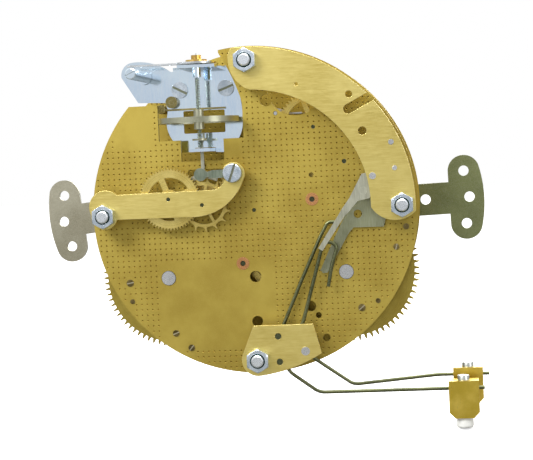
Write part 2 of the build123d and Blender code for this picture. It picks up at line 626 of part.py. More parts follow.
PIN_RING = 9.65  # distance of the pallet pins from the escape arbor
with BuildPart() as pallet_lever:
    with BuildSketch(at(LEVER, 0.3)):
        with BuildLine():
            Polyline((-0.6, 0), (-0.45, 10.4), (-1.1, 11.3), (-1.1, 13.7), (-0.4, 13.7), (-0.4, 11.9), (0.4, 11.9),
                     (0.4, 13.7), (1.1, 13.7), (1.1, 11.3), (0.45, 10.4), (0.6, 0), close=True)
        make_face()
        Circle(1.5)
        for side in (-1, 1):
            with BuildLine():
                Polyline((0, 0.9), (side * 4.9, -1.1), (side * 4.5, -2.4), (0, -1.0), close=True)
            make_face()
    extrude(amount=0.6)
    for angle in (90 - 25.8, 90 + 25.8):
        dx, dz = polar(PIN_RING, angle)
        disc((ESCAPE[0] + dx, ESCAPE[1] + dz), 0.25, 0.3, 2.3)
    steps(LEVER, [(0.8, SHOULDER_FRONT, BRIDGE_TOP - 0.2), (PIVOT_R, PIVOT_FRONT, SHOULDER_FRONT),
                  (PIVOT_R, BRIDGE_TOP - 0.2, BRIDGE_TOP + 0.3)])
finish(pallet_lever.part, "pallet_lever")

ESCAPE_TEETH = 15
ESCAPE_TIP = 9.0
ESCAPE_ROOT = 7.5


def escape_outline():
    """Fifteen pointed teeth that lean forward, with round gaps drawn as short flats."""
    corners = []
    for tooth in range(ESCAPE_TEETH):
        base = tooth * 360 / ESCAPE_TEETH
        corners += [polar(ESCAPE_ROOT, base), polar(ESCAPE_ROOT + 0.5, base + 5.0), polar(ESCAPE_TIP, base + 7.6),
                    polar(ESCAPE_TIP, base + 9.2), polar(ESCAPE_ROOT + 0.3, base + 9.6),
                    polar(ESCAPE_ROOT, base + 11.5)]
    return corners


escape_module = module_for(THIRD, ESCAPE, THIRD_TEETH, ESCAPE_LEAVES)
with BuildPart() as escape_wheel:
    with BuildSketch(at(ESCAPE, ESCAPE_LEVEL[0])):
        Polygon(*escape_outline(), align=None)
        Circle(6.4, mode=Mode.SUBTRACT)
        Circle(1.9)
        with PolarLocations(0, 5, start_angle=10):
            Rectangle(6.7, 0.9, align=(Align.MIN, Align.CENTER))
    extrude(amount=ESCAPE_LEVEL[1] - ESCAPE_LEVEL[0])
    steps(ESCAPE, [(0.75, 0.2, BRIDGE_H - 0.2), (PIVOT_R, INNER_REAR + 0.2, 0.2), (PIVOT_R, BRIDGE_H - 0.2, 6.2)])
    pinion(ESCAPE, ESCAPE_LEAVES, escape_module, heading(ESCAPE, THIRD), (THIRD_LEVEL[0] - 0.5, 4.7))
finish(escape_wheel.part, "escape_wheel")

third_module = module_for(MIDDLE, THIRD, MIDDLE_TEETH, THIRD_LEAVES)
with BuildPart() as third_wheel:
    wheel(THIRD, THIRD_TEETH, escape_module, heading(THIRD, ESCAPE), THIRD_LEVEL, 7.1, 3.2, 4, 2.0)
    steps(THIRD, [(ARBOR_R, SHOULDER_FRONT, BRIDGE_H - 0.2), (PIVOT_R, PIVOT_FRONT, SHOULDER_FRONT),
                  (PIVOT_R, BRIDGE_H - 0.2, 6.2)])
    pinion(THIRD, THIRD_LEAVES, third_module, heading(THIRD, MIDDLE), wider(MIDDLE_LEVEL))
finish(third_wheel.part, "third_wheel")

middle_module = module_for(CENTRE, MIDDLE, CENTRE_TEETH, MIDDLE_LEAVES)
with BuildPart() as intermediate_wheel:
    wheel(MIDDLE, MIDDLE_TEETH, third_module, heading(MIDDLE, THIRD), MIDDLE_LEVEL, 7.4, 3.0, 4, 1.6)
    plain_arbor(MIDDLE)
    pinion(MIDDLE, MIDDLE_LEAVES, middle_module, heading(MIDDLE, CENTRE), wider(CENTRE_LEVEL))
finish(intermediate_wheel.part, "intermediate_wheel")

centre_module = module_for(SECOND, CENTRE, SECOND_TEETH, CENTRE_LEAVES)
with BuildPart() as centre_wheel:
    wheel(CENTRE, CENTRE_TEETH, middle_module, heading(CENTRE, MIDDLE), CENTRE_LEVEL, 12.6, 3.6, 5, 2.0)
    steps(CENTRE, [(CENTRE_ARBOR_R, FRONT - 0.6, SHOULDER_REAR), (PIVOT_R, SHOULDER_REAR, PIVOT_REAR),
                   (0.85, FRONT - 21.0, FRONT - 0.6)])
    pinion(CENTRE, CENTRE_LEAVES, centre_module, heading(CENTRE, SECOND), wider(SECOND_LEVEL))
finish(centre_wheel.part, "centre_wheel")

second_module = module_for(TIME_BARREL, SECOND, TIME_GREAT, SECOND_LEAVES)
with BuildPart() as second_wheel:
    wheel(SECOND, SECOND_TEETH, centre_module, heading(SECOND, CENTRE), SECOND_LEVEL, 12.4, 3.6, 5, 2.2)
    plain_arbor(SECOND, tip=0.75)
    pinion(SECOND, SECOND_LEAVES, second_module, heading(SECOND, TIME_BARREL), wider(GREAT_LEVEL))
finish(second_wheel.part, "second_wheel")

# ---------------------------------------------------------------- barrels, ratchets and clicks
DRUM_R = 20.4
DRUM_WALL = 0.9
DRUM_FRONT = -24.5
ARBOR_BODY = 3.0
SPRING_TURNS = 9
SPRING_T = 0.45
RATCHET_TEETH = 20
RATCHET_TIP = 7.6
RATCHET_ROOT = 6.3
SQUARE = 3.4


def spring_outline():
    """A coiled strip: out along one face and back along the other."""
    inner_r, outer_r = ARBOR_BODY + 0.5, DRUM_R - DRUM_WALL - SPRING_T - 0.3
    count = SPRING_TURNS * 24
    radii = [inner_r + (outer_r - inner_r) * n / count for n in range(count + 1)]
    angles = [n * 15 for n in range(count + 1)]
    face = [polar(r, a) for r, a in zip(radii, angles)]
    back = [polar(r + SPRING_T, a) for r, a in zip(radii, angles)]
    return face + back[::-1]


def barrel(side, place, teeth, module, toward):
    """Great wheel, drum, mainspring, winding arbor, ratchet wheel and click of one barrel."""
    with BuildPart() as great_wheel:
        with BuildSketch(at(place, GREAT_LEVEL[0])):
            Polygon(*gear_outline(teeth, module, toward, GREAT_FORM), align=None)
            Circle(ARBOR_BODY + 0.15, mode=Mode.SUBTRACT)
        extrude(amount=GREAT_LEVEL[1] - GREAT_LEVEL[0])
    finish(great_wheel.part, f"{side}_great_wheel")

    with BuildPart() as drum:
        disc(place, DRUM_R, DRUM_FRONT, GREAT_LEVEL[0])
        disc(place, DRUM_R - DRUM_WALL, DRUM_FRONT + DRUM_WALL, GREAT_LEVEL[0], Mode.SUBTRACT)
        disc(place, ARBOR_BODY + 0.15, DRUM_FRONT, DRUM_FRONT + DRUM_WALL, Mode.SUBTRACT)
    finish(drum.part, f"{side}_barrel_drum")

    with BuildPart() as mainspring:
        with BuildSketch(at(place, DRUM_FRONT + DRUM_WALL + 0.3)):
            Polygon(*spring_outline(), align=None)
        extrude(amount=GREAT_LEVEL[0] - DRUM_FRONT - DRUM_WALL - 0.6)
    finish(mainspring.part, f"{side}_mainspring")

    with BuildPart() as arbor:
        steps(place, [(ARBOR_BODY, SHOULDER_FRONT, SHOULDER_REAR), (WINDING_R, SHOULDER_REAR, 0.25),
                      (WINDING_R, RATCHET_LEVEL[0] - 0.3, SHOULDER_FRONT)])
        with BuildSketch(at(place, FRONT - 12.5)):
            Rectangle(SQUARE, SQUARE)
        extrude(amount=12.5 + RATCHET_LEVEL[0] - 0.3 - FRONT)
    finish(arbor.part, f"{side}_winding_arbor")

    lean = -1 if side == "time" else 1
    with BuildPart() as ratchet:
        with BuildSketch(at(place, RATCHET_LEVEL[0])):
            corners = []
            for tooth in range(RATCHET_TEETH):
                base = lean * tooth * 360 / RATCHET_TEETH
                corners += [polar(RATCHET_ROOT, base), polar(RATCHET_TIP, base + lean * 1.0)]
            Polygon(*corners, align=None)
            Circle(WINDING_R + 0.02, mode=Mode.SUBTRACT)
        extrude(amount=RATCHET_LEVEL[1] - RATCHET_LEVEL[0])
    finish(ratchet.part, f"{side}_ratchet_wheel")

    angle = CLICK_ANGLES[side]
    dx, dz = polar(CLICK_DISTANCE, angle)
    stud = (place[0] + dx, place[1] + dz)
    turn = -lean
    with BuildPart() as click:
        with BuildSketch(at(stud, RATCHET_LEVEL[0], angle)):
            Circle(2.2)
            with BuildLine():
                Polyline((1.6, 0), (1.2, turn * 2.0), (-5.3, turn * 6.6), (-6.0, turn * 6.0), (-3.0, turn * 2.2),
                         (-2.2, 0), close=True)
            make_face()
        extrude(amount=RATCHET_LEVEL[1] - RATCHET_LEVEL[0])
        disc(stud, 0.9, FRONT + 0.1, RATCHET_LEVEL[0])
        disc(stud, 0.9, RATCHET_LEVEL[1], INNER_FRONT - 0.1)
    finish(click.part, f"{side}_click")
    return stud


time_stud = barrel("time", TIME_BARREL, TIME_GREAT, second_module, heading(TIME_BARREL, SECOND))
strike_2_module = module_for(STRIKE_BARREL, STRIKE_2, STRIKE_GREAT, STRIKE_2_LEAVES)
strike_stud = barrel("strike", STRIKE_BARREL, STRIKE_GREAT, strike_2_module, heading(STRIKE_BARREL, STRIKE_2))

with BuildPart() as click_springs:
    for stud, side in ((time_stud, -1), (strike_stud, 1)):
        foot = (stud[0] - side * 9.0, stud[1] + 9.0)
        disc(foot, 1.0, RATCHET_LEVEL[0], FRONT)
        with BuildSketch(at(foot, RATCHET_LEVEL[0] + 0.4)):
            with BuildLine():
                ThreePointArc((0, 0), (side * 5.2, -1.2), (side * 9.4, -4.2))
                Line((side * 9.4, -4.2), (side * 9.1, -4.6))
                ThreePointArc((side * 9.1, -4.6), (side * 5.0, -1.7), (0, -0.5))
                Line((0, -0.5), (0, 0))
            make_face()
        extrude(amount=0.8)
finish(click_springs.part, "click_springs")

# ---------------------------------------------------------------- striking train
strike_3_module = module_for(STRIKE_2, STRIKE_3, STRIKE_2_TEETH, STRIKE_3_LEAVES)
strike_4_module = module_for(STRIKE_3, STRIKE_4, STRIKE_3_TEETH, STRIKE_4_LEAVES)
fly_module = module_for(STRIKE_4, FLY, STRIKE_4_TEETH, FLY_LEAVES)

with BuildPart() as strike_second_wheel:
    wheel(STRIKE_2, STRIKE_2_TEETH, strike_3_module, heading(STRIKE_2, STRIKE_3), SECOND_LEVEL, 12.0, 4.2, 4, 2.2)
    plain_arbor(STRIKE_2, tip=0.75)
    pinion(STRIKE_2, STRIKE_2_LEAVES, strike_2_module, heading(STRIKE_2, STRIKE_BARREL), wider(GREAT_LEVEL))
finish(strike_second_wheel.part, "strike_second_wheel")

with BuildPart() as strike_third_wheel:
    wheel(STRIKE_3, STRIKE_3_TEETH, strike_4_module, heading(STRIKE_3, STRIKE_4), CENTRE_LEVEL, 11.0, 3.4, 4, 1.8)
    plain_arbor(STRIKE_3, tip=0.6)
    pinion(STRIKE_3, STRIKE_3_LEAVES, strike_3_module, heading(STRIKE_3, STRIKE_2), wider(SECOND_LEVEL))
finish(strike_third_wheel.part, "strike_third_wheel")

with BuildPart() as warning_wheel:
    wheel(STRIKE_4, STRIKE_4_TEETH, fly_module, heading(STRIKE_4, FLY), MIDDLE_LEVEL, 9.4, 3.0, 4, 1.5)
    plain_arbor(STRIKE_4)
    pinion(STRIKE_4, STRIKE_4_LEAVES, strike_4_module, heading(STRIKE_4, STRIKE_3), wider(CENTRE_LEVEL))
finish(warning_wheel.part, "warning_wheel")

with BuildPart() as fly:
    plain_arbor(FLY, tip=0.55)
    pinion(FLY, FLY_LEAVES, fly_module, heading(FLY, STRIKE_4), wider(MIDDLE_LEVEL))
    with BuildSketch(at(FLY, -20.0)):
        Rectangle(16.0, 0.5)
        Circle(1.8)
    extrude(amount=12.0)
finish(fly.part, "fly")

# ---------------------------------------------------------------- motion work and rack, on the front plate
cannon_module = 2 * between(CENTRE, MINUTE) / (CANNON_LEAVES + MINUTE_TEETH)
hour_module = 2 * between(CENTRE, MINUTE) / (MINUTE_LEAVES + HOUR_TEETH)
HAND_R = 1.5  # radius of the cannon tube where the minute hand sits
HAND_SEAT = (-3.0, 6.0)  # the seat's two ends, in Y
TUBE_R = 1.9  # radius of the tube behind the seat
PIPE_R = 2.6
PIPE_END = FRONT - 10.5
SNAIL_LEVEL = (FRONT - 6.2, FRONT - 4.8)

with BuildPart() as cannon_pinion:
    pinion(CENTRE, CANNON_LEAVES, cannon_module, heading(CENTRE, MINUTE), CANNON_LEVEL)
    disc(CENTRE, HAND_R, REAR - HAND_SEAT[1], REAR - HAND_SEAT[0])
    disc(CENTRE, TUBE_R, REAR - HAND_SEAT[0], CANNON_LEVEL[0])
    disc(CENTRE, 0.9, REAR - HAND_SEAT[1], CANNON_LEVEL[1], Mode.SUBTRACT)
finish(cannon_pinion.part, "cannon_pinion")

with BuildPart() as minute_wheel:
    wheel(MINUTE, MINUTE_TEETH, cannon_module, heading(MINUTE, CENTRE), MINUTE_LEVEL, 6.6, 3.2, 4, 1.6)
    pinion(MINUTE, MINUTE_LEAVES, hour_module, heading(MINUTE, CENTRE), (HOUR_LEVEL[0] - 0.2, MINUTE_LEVEL[0]))
    disc(MINUTE, 0.8, MINUTE_LEVEL[1], INNER_FRONT - 0.3)
finish(minute_wheel.part, "minute_wheel")


def snail_outline():
    """Twelve steps that fall from one o'clock to twelve."""
    corners = []
    for hour in range(12):
        radius = 9.0 - hour * 0.38
        for share in (0.0, 0.33, 0.67, 1.0):
            corners.append(polar(radius, 75 + (hour + share) * 30))
    return corners


with BuildPart() as hour_wheel:
    with BuildSketch(at(CENTRE, HOUR_LEVEL[0])):
        Polygon(*gear_outline(HOUR_TEETH, hour_module, heading(CENTRE, MINUTE), WHEEL_FORM), align=None)
    extrude(amount=HOUR_LEVEL[1] - HOUR_LEVEL[0])
    with BuildSketch(at(CENTRE, SNAIL_LEVEL[0])):
        Polygon(*snail_outline(), align=None)
    extrude(amount=SNAIL_LEVEL[1] - SNAIL_LEVEL[0])
    disc(CENTRE, 3.4, SNAIL_LEVEL[1], HOUR_LEVEL[0])
    disc(CENTRE, PIPE_R, PIPE_END, SNAIL_LEVEL[0])
    disc(CENTRE, TUBE_R + 0.12, PIPE_END, HOUR_LEVEL[1], Mode.SUBTRACT)
finish(hour_wheel.part, "hour_wheel")

RACK_R = 24.0
with BuildPart() as strike_rack:
    with BuildSketch(at(RACK, SNAIL_LEVEL[0] + 0.2)):
        Circle(2.6)
        rim = [polar(RACK_R + (0.9 if n % 2 else 0.0), 98 + n * 1.3) for n in range(27)]
        Polygon(*rim, polar(RACK_R - 2.6, 98 + 26 * 1.3), polar(RACK_R - 3.2, 115), polar(RACK_R - 2.6, 98),
                align=None)
        with BuildLine():
            Polyline((-1.6, 1.4), (-10.4, 20.2), (-8.0, 21.4), (1.4, 2.2), close=True)
        make_face()
        with BuildLine():
            Polyline((0, 2.2), (-21.6, 0.7), (-21.6, -0.7), (0, -2.2), close=True)
        make_face()
    extrude(amount=1.0)
    disc(RACK, 1.05, SNAIL_LEVEL[0] + 1.2, INNER_FRONT - 0.3)
finish(strike_rack.part, "strike_rack")

# ---------------------------------------------------------------- hammers
TAIL_1_H = 1.8
TAIL_2_H = 3.3
BLOCK_WIDE = 9.8
BLOCK_TALL = 12.2
BLOCK_DEEP = 7.0


def point(x, z, height):
    return (x, REAR - height, z)


def bent_wire(points, radii):
    """Round wire along straight runs joined by tangent bends."""
    with BuildLine() as path:
        FilletPolyline(*points, radius=radii)
    with BuildSketch(Plane(origin=path.line @ 0, z_dir=path.line % 0)) as section:
        Circle(WIRE_R)
    sweep(section.sketch, path=path.line)


def hammer_hub(place, height):
    steps(place, [(0.9, INNER_REAR + 0.2, BRIDGE_TOP + 0.1), (2.0, height - 0.9, height + 0.9)])


REAR_HEAD = (68.0, -61.0, -7.5)
FRONT_HEAD = (66.4, -63.9, TAIL_2_H)

with BuildPart() as rear_hammer_wire:
    hammer_hub(HAMMER_1, TAIL_1_H)
    bent_wire([point(*HAMMER_1, TAIL_1_H), point(14.2, -25.1, TAIL_1_H), point(21.4, -10.0, TAIL_1_H),
               point(24.2, -4.9, TAIL_1_H), point(26.6, -4.9, TAIL_1_H)], [30, 12, 1.6])
    rear_run = REAR_HEAD[1] + 3.6
    bent_wire([point(*HAMMER_1, TAIL_1_H), point(20.4, -51.3, TAIL_1_H), point(30.4, -59.0, -1.6),
               point(58.0, rear_run, REAR_HEAD[2]), point(75.0, rear_run, REAR_HEAD[2])], [14, 5, 10])
finish(rear_hammer_wire.part, "rear_hammer_wire")

with BuildPart() as front_hammer_wire:
    hammer_hub(HAMMER_2, TAIL_2_H)
    bent_wire([point(*HAMMER_2, TAIL_2_H), point(14.9, -37.4, TAIL_2_H), point(18.5, -25.3, TAIL_2_H),
               point(22.7, -11.0, TAIL_2_H), point(27.5, -12.0, TAIL_2_H), point(25.0, -19.5, TAIL_2_H),
               point(23.7, -25.9, TAIL_2_H)], [10, 30, 2.1, 2.1, 12])
    bent_wire([point(*HAMMER_2, TAIL_2_H), point(10.6, -54.2, TAIL_2_H), point(19.3, -60.6, TAIL_2_H),
               point(73.2, -60.5, TAIL_2_H)], [5, 6])
finish(front_hammer_wire.part, "front_hammer_wire")


def hammer_block(head, wire_z):
    """Brass block with chamfered lower corners, bored for the wire, with a slotted clamp screw on top."""
    x, z, height = head
    low = height - BLOCK_DEEP / 2
    top_z = z + BLOCK_TALL / 2
    with BuildPart() as block:
        with BuildSketch(at((x, z), low)):
            with BuildLine():
                half, tall, cut = BLOCK_WIDE / 2, BLOCK_TALL / 2, 1.9
                Polyline((-half, tall), (half, tall), (half, cut - tall), (half - cut, -tall), (cut - half, -tall),
                         (-half, cut - tall), close=True)
            make_face()
        extrude(amount=BLOCK_DEEP)
        with BuildSketch(Plane(origin=(x - BLOCK_WIDE, REAR - height, wire_z), z_dir=(1, 0, 0))):
            Circle(WIRE_R + 0.02)
        extrude(amount=2 * BLOCK_WIDE, mode=Mode.SUBTRACT)
        with BuildSketch(Plane(origin=(x, REAR - height, z - BLOCK_TALL / 2), z_dir=(0, 0, 1))):
            Circle(1.8)
        extrude(amount=2.5, mode=Mode.SUBTRACT)
        with BuildSketch(Plane(origin=(x, REAR - height, top_z), z_dir=(0, 0, 1))):
            Circle(1.9)
        extrude(amount=1.5)
        with BuildSketch(Plane(origin=(x, REAR - height, top_z + 0.8), z_dir=(0, 0, 1))):
            Rectangle(5, 0.7)
        extrude(amount=1.0, mode=Mode.SUBTRACT)
    return block.part


def hammer_tip(head):
    """Pale plug with a slightly domed striking end, pressed into the block from below."""
    x, z, height = head
    low_z = z - BLOCK_TALL / 2
    with BuildPart() as tip:
        with BuildSketch(Plane(origin=(x, REAR - height, low_z), z_dir=(0, 0, 1))):
            Circle(1.78)
        extrude(amount=2.4)
        with BuildSketch(Plane(origin=(x, REAR - height, low_z - 3.4), z_dir=(0, 0, 1))):
            Circle(2.8)
        extrude(amount=3.4)
        fillet(tip.faces().sort_by(Axis.Z)[0].edges(), 0.8)
    return tip.part


finish(hammer_block(REAR_HEAD, rear_run), "rear_hammer_head")
finish(hammer_tip(REAR_HEAD), "rear_hammer_tip")
finish(hammer_block(FRONT_HEAD, -60.5), "front_hammer_head")
finish(hammer_tip(FRONT_HEAD), "front_hammer_tip")

# ---------------------------------------------------------------- trip levers
LEVER_HOLE_R = 1.3
with BuildPart() as front_trip_lever:
    with BuildSketch(at(CENTRE, 4.15)):
        with BuildLine():
            Polyline((36.2, 10.5), (31.9, 2.8), (29.5, -0.4), (21.1, -13.2), (22.4, -14.1), (30.0, -3.1), (31.7, -1.5),
                     (34.5, 1.7), (38.4, 2.5), (41.4, 7.8), (41.2, 11.4), close=True)
        make_face()
        with Locations(TRIP):
            Circle(2.3)
            Circle(LEVER_HOLE_R, mode=Mode.SUBTRACT)
    extrude(amount=0.6)
    disc((36.5, 5.0), 1.2, 4.6, 4.85)
finish(front_trip_lever.part, "front_trip_lever")

with BuildPart() as rear_trip_lever:
    with BuildSketch(at(CENTRE, 0.25)):
        with BuildLine():
            Polyline((37.6, 10.6), (32.3, 1.0), (29.8, -3.2), (25.8, -11.0), (21.1, -20.8), (23.4, -21.6), (26.9, -15.7),
                     (30.9, -8.9), (32.6, -7.0), (42.5, -7.1), (43.3, -4.1), (39.3, 0.5), (42.0, 8.2), (41.8, 10.9),
                     close=True)
        make_face()
        with Locations(TRIP):
            Circle(2.3)
            Circle(LEVER_HOLE_R, mode=Mode.SUBTRACT)
        with Locations((34.2, -2.6)):
            Circle(1.4, mode=Mode.SUBTRACT)
    extrude(amount=0.65)
    disc((22.4, -20.8), 0.85, 0.4, 1.05)
finish(rear_trip_lever.part, "rear_trip_lever")
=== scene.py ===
# %% [markdown]
# # A round-plate striking clock movement
#
# The packed CAD model is the movement itself: plates, bridges, wheels, barrels, wires and hammers, each a
# node of its own and each already in its place. This lesson dresses it. We give every metal its own finish,
# press the grid of dimples into the plates, wind the hairspring as real wire, soften the stamped edges, and
# light the movement the way a parts catalogue would.

# %% Load the frame
from math import cos, pi, radians, sin

import bmesh
import bpy
from mathutils import Matrix, Vector
from mathutils.bvhtree import BVHTree


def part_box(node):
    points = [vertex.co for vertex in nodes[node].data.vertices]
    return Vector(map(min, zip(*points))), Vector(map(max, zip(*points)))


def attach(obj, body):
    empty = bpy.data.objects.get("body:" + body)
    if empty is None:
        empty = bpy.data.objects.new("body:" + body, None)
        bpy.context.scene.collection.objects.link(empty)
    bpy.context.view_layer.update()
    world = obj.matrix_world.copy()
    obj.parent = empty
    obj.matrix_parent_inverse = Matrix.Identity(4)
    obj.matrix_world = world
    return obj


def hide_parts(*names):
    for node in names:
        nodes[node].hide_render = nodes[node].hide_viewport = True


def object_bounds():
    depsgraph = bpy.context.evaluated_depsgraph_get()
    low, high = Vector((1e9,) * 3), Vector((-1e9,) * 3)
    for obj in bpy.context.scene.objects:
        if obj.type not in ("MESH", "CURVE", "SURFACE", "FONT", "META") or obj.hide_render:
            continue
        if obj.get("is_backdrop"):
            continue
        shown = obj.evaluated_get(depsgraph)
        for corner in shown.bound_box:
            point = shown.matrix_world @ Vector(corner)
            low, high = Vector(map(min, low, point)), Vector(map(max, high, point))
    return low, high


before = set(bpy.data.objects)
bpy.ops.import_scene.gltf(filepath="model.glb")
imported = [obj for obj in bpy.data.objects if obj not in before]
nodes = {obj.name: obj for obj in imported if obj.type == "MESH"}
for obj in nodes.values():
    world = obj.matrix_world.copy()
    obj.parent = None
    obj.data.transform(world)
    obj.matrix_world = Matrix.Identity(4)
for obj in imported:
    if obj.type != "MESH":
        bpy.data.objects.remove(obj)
cad_low, cad_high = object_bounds()
MM = 0.001
print("nodes", len(nodes), "box in mm", [round(x / MM, 1) for x in cad_high - cad_low])

# %% [markdown]
# ## Where things are
#
# Where the model can tell a place, we read it from there. A wheel's centre is the middle of its own box, and
# the back plate's box gives the plane that the dimples are pressed into. Typed numbers would go wrong as soon
# as the model changed. The rear of the movement looks towards -Y, so that is the side the camera sees.

# %% Places
rear_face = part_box("back_plate")[0].y
front_low, front_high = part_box("front_plate")
plate_radius = (front_high.x - front_low.x) / 2


def middle(node):
    low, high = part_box(node)
    return (low + high) / 2


print("plate radius", round(plate_radius / MM, 2), "mm, rear face at", round(rear_face / MM, 2), "mm")

# %% [markdown]
# ## The camera and the light
#
# The camera stands behind the movement, a little to the right and a little above, and leans slightly, because
# the movement isn't held quite level. A long lens keeps the round plate round. The offsets move the view so
# that the hand arbor sits left of and above the middle, which leaves room for the ears and the hammers.

# %% Camera
LENS_MM = 110.9
SENSOR_MM = 36.0
DISTANCE = 0.542
AZIMUTH = 6.55
ELEVATION = 2.66
LEAN = -2.6
OFFSET_RIGHT = 0.0041
OFFSET_DOWN = 0.0066


def make_camera():
    data = bpy.data.cameras.new("catalogue_camera")
    data.lens = LENS_MM
    data.sensor_width = SENSOR_MM
    data.clip_start = 0.01
    camera = bpy.data.objects.new("catalogue_camera", data)
    bpy.context.scene.collection.objects.link(camera)
    turn, rise = radians(AZIMUTH), radians(ELEVATION)
    back = Vector((sin(turn) * cos(rise), -cos(turn) * cos(rise), sin(rise)))
    level = (-back).to_track_quat("-Z", "Y").to_matrix()
    axes = level @ Matrix.Rotation(radians(LEAN), 3, "Z")
    camera.rotation_mode = "QUATERNION"
    camera.rotation_quaternion = axes.to_quaternion()
    target = Vector((0.0, rear_face, 0.0))
    camera.location = target + back * DISTANCE + axes.col[0] * OFFSET_RIGHT - axes.col[1] * OFFSET_DOWN
    bpy.context.scene.camera = camera
    return camera


camera = make_camera()
print("camera at", [round(x, 3) for x in camera.location])

# %% [markdown]
# ## Helpers for nodes
#
# The studio and every metal are built from shader nodes. Added one by one, each node takes several lines for
# its options and its links. These helpers add a node, set it and link it in one call, so the recipes further
# down stay short enough to read.

# %% Node helpers


def add(tree, kind, settings=None, **values):
    """Adds a node; settings are its options, and values fill its sockets by number or name."""
    node = tree.nodes.new(kind)
    for option, value in (settings or {}).items():
        setattr(node, option, value)
    for label, value in values.items():
        key = int(label[1:]) if label[0] == "_" else label.replace("_", " ")
        if isinstance(value, bpy.types.NodeSocket):
            tree.links.new(value, node.inputs[key])
        else:
            node.inputs[key].default_value = value
    return node


def math(tree, operation, first, second=0.0, third=0.0):
    node = add(tree, "ShaderNodeMath", {"operation": operation}, _0=first, _1=second, _2=third)
    return node.outputs[0]


def vector_math(tree, operation, first, second=(0, 0, 0)):
    return add(tree, "ShaderNodeVectorMath", {"operation": operation}, _0=first, _1=second)


def remap(tree, value, low, high, new_low=0.0, new_high=1.0):
    """Smoothly carries low..high over to new_low..new_high."""
    node = add(tree, "ShaderNodeMapRange", {"interpolation_type": "SMOOTHSTEP"}, _0=value, _1=low, _2=high,
               _3=new_low, _4=new_high)
    return node.outputs[0]


def camera_sees(tree, shown, otherwise):
    """Mixes two shaders: rays from the camera get the first, all others the second."""
    path = add(tree, "ShaderNodeLightPath")
    mixed = add(tree, "ShaderNodeMixShader", _0=path.outputs["Is Camera Ray"], _1=otherwise, _2=shown)
    return mixed.outputs[0]


print("node helpers ready")

# %% [markdown]
# Polished metal shows what stands round it, so the surroundings matter as much as the lamps. The world is a
# pale studio: bright above, greyer towards the floor, with plain white behind the object for the camera.

# %% World
WORLD_ZENITH = (1.0, 1.0, 1.0, 1.0)
WORLD_HORIZON = (0.52, 0.54, 0.58, 1.0)
BACKDROP_WHITE = (1.0, 1.0, 1.0, 1.0)
HORIZON_UP_TO = 0.35
ZENITH_FROM = 0.85


def make_world():
    world = bpy.data.worlds.new("pale_studio")
    bpy.context.scene.world = world
    world.use_nodes = True
    tree = world.node_tree
    tree.nodes.clear()
    direction = add(tree, "ShaderNodeTexCoord").outputs["Generated"]
    upward = add(tree, "ShaderNodeSeparateXYZ", _0=direction).outputs["Z"]
    ramp = add(tree, "ShaderNodeValToRGB", _0=math(tree, "MULTIPLY_ADD", upward, 0.5, 0.5))
    horizon, zenith = ramp.color_ramp.elements
    horizon.position, horizon.color = HORIZON_UP_TO, WORLD_HORIZON
    zenith.position, zenith.color = ZENITH_FROM, WORLD_ZENITH
    surroundings = add(tree, "ShaderNodeBackground", Color=ramp.outputs[0])
    backdrop = add(tree, "ShaderNodeBackground", Color=BACKDROP_WHITE)
    add(tree, "ShaderNodeOutputWorld", Surface=camera_sees(tree, backdrop.outputs[0], surroundings.outputs[0]))
    return world


print("world", make_world().name)

# %% [markdown]
# Small lamps would leave hard dots on polished metal, so the lamps are soft boxes, which leave long highlights.
# Three of them light the rear: a key from the upper left, a weaker fill from the right and one on top. The
# fourth stands on the dial side and is there for views from the front.

# %% Lamps


def soft_box(name, place, size, power):
    """A rectangular soft box that looks at the middle of the movement."""
    data = bpy.data.lights.new(name, "AREA")
    data.shape = "RECTANGLE"
    data.size, data.size_y = size
    data.energy = power
    lamp = bpy.data.objects.new(name, data)
    bpy.context.scene.collection.objects.link(lamp)
    lamp.location = place
    aim = Vector((0.0, rear_face, 0.0)) - lamp.location
    lamp.rotation_euler = aim.to_track_quat("-Z", "Y").to_euler()


bpy.context.scene.view_settings.view_transform = "Standard"
soft_box("key_box", (-0.45, -0.62, 0.50), (0.35, 0.30), 7.6)
soft_box("fill_box", (0.60, -0.50, 0.10), (0.30, 0.50), 1.4)
soft_box("top_box", (0.05, -0.15, 0.60), (0.60, 0.25), 4.0)
soft_box("dial_side_box", (0.25, 0.70, 0.40), (0.60, 0.50), 8.0)

# %% [markdown]
# The floor is a plain pale sheet just under the lowest hammer tip. It is stage, not part of the movement. It
# looks nearly white, but the metal sees it as a dark sheet, so the brass darkens towards the bottom.

# %% Floor
FLOOR_GAP = 0.0006
FLOOR_HALF = 3.0
FLOOR_SEEN = (0.93, 0.93, 0.93, 1.0)
FLOOR_MIRRORED = (0.16, 0.16, 0.15, 1.0)
FLOOR_GLOW = 0.45
FLOOR_ROUGHNESS = 0.9


def floor_material():
    material = bpy.data.materials.new("pale_floor")
    material.use_nodes = True
    tree = material.node_tree
    tree.nodes.clear()
    pale = add(tree, "ShaderNodeBsdfPrincipled", Base_Color=FLOOR_SEEN, Roughness=FLOOR_ROUGHNESS,
               Emission_Color=(1.0, 1.0, 1.0, 1.0), Emission_Strength=FLOOR_GLOW)
    dark = add(tree, "ShaderNodeBsdfPrincipled", Base_Color=FLOOR_MIRRORED, Roughness=FLOOR_ROUGHNESS)
    add(tree, "ShaderNodeOutputMaterial", Surface=camera_sees(tree, pale.outputs[0], dark.outputs[0]))
    return material


def make_floor():
    data = bpy.data.meshes.new("pale_floor")
    z = cad_low.z - FLOOR_GAP
    h = FLOOR_HALF
    data.from_pydata([(-h, -h, z), (h, -h, z), (h, h, z), (-h, h, z)], [], [(0, 1, 2, 3)])
    floor = bpy.data.objects.new("pale_floor", data)
    bpy.context.scene.collection.objects.link(floor)
    floor.data.materials.append(floor_material())
    floor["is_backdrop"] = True
    return floor


print("floor", make_floor().name, "at z", round((cad_low.z - FLOOR_GAP) / MM, 2), "mm")

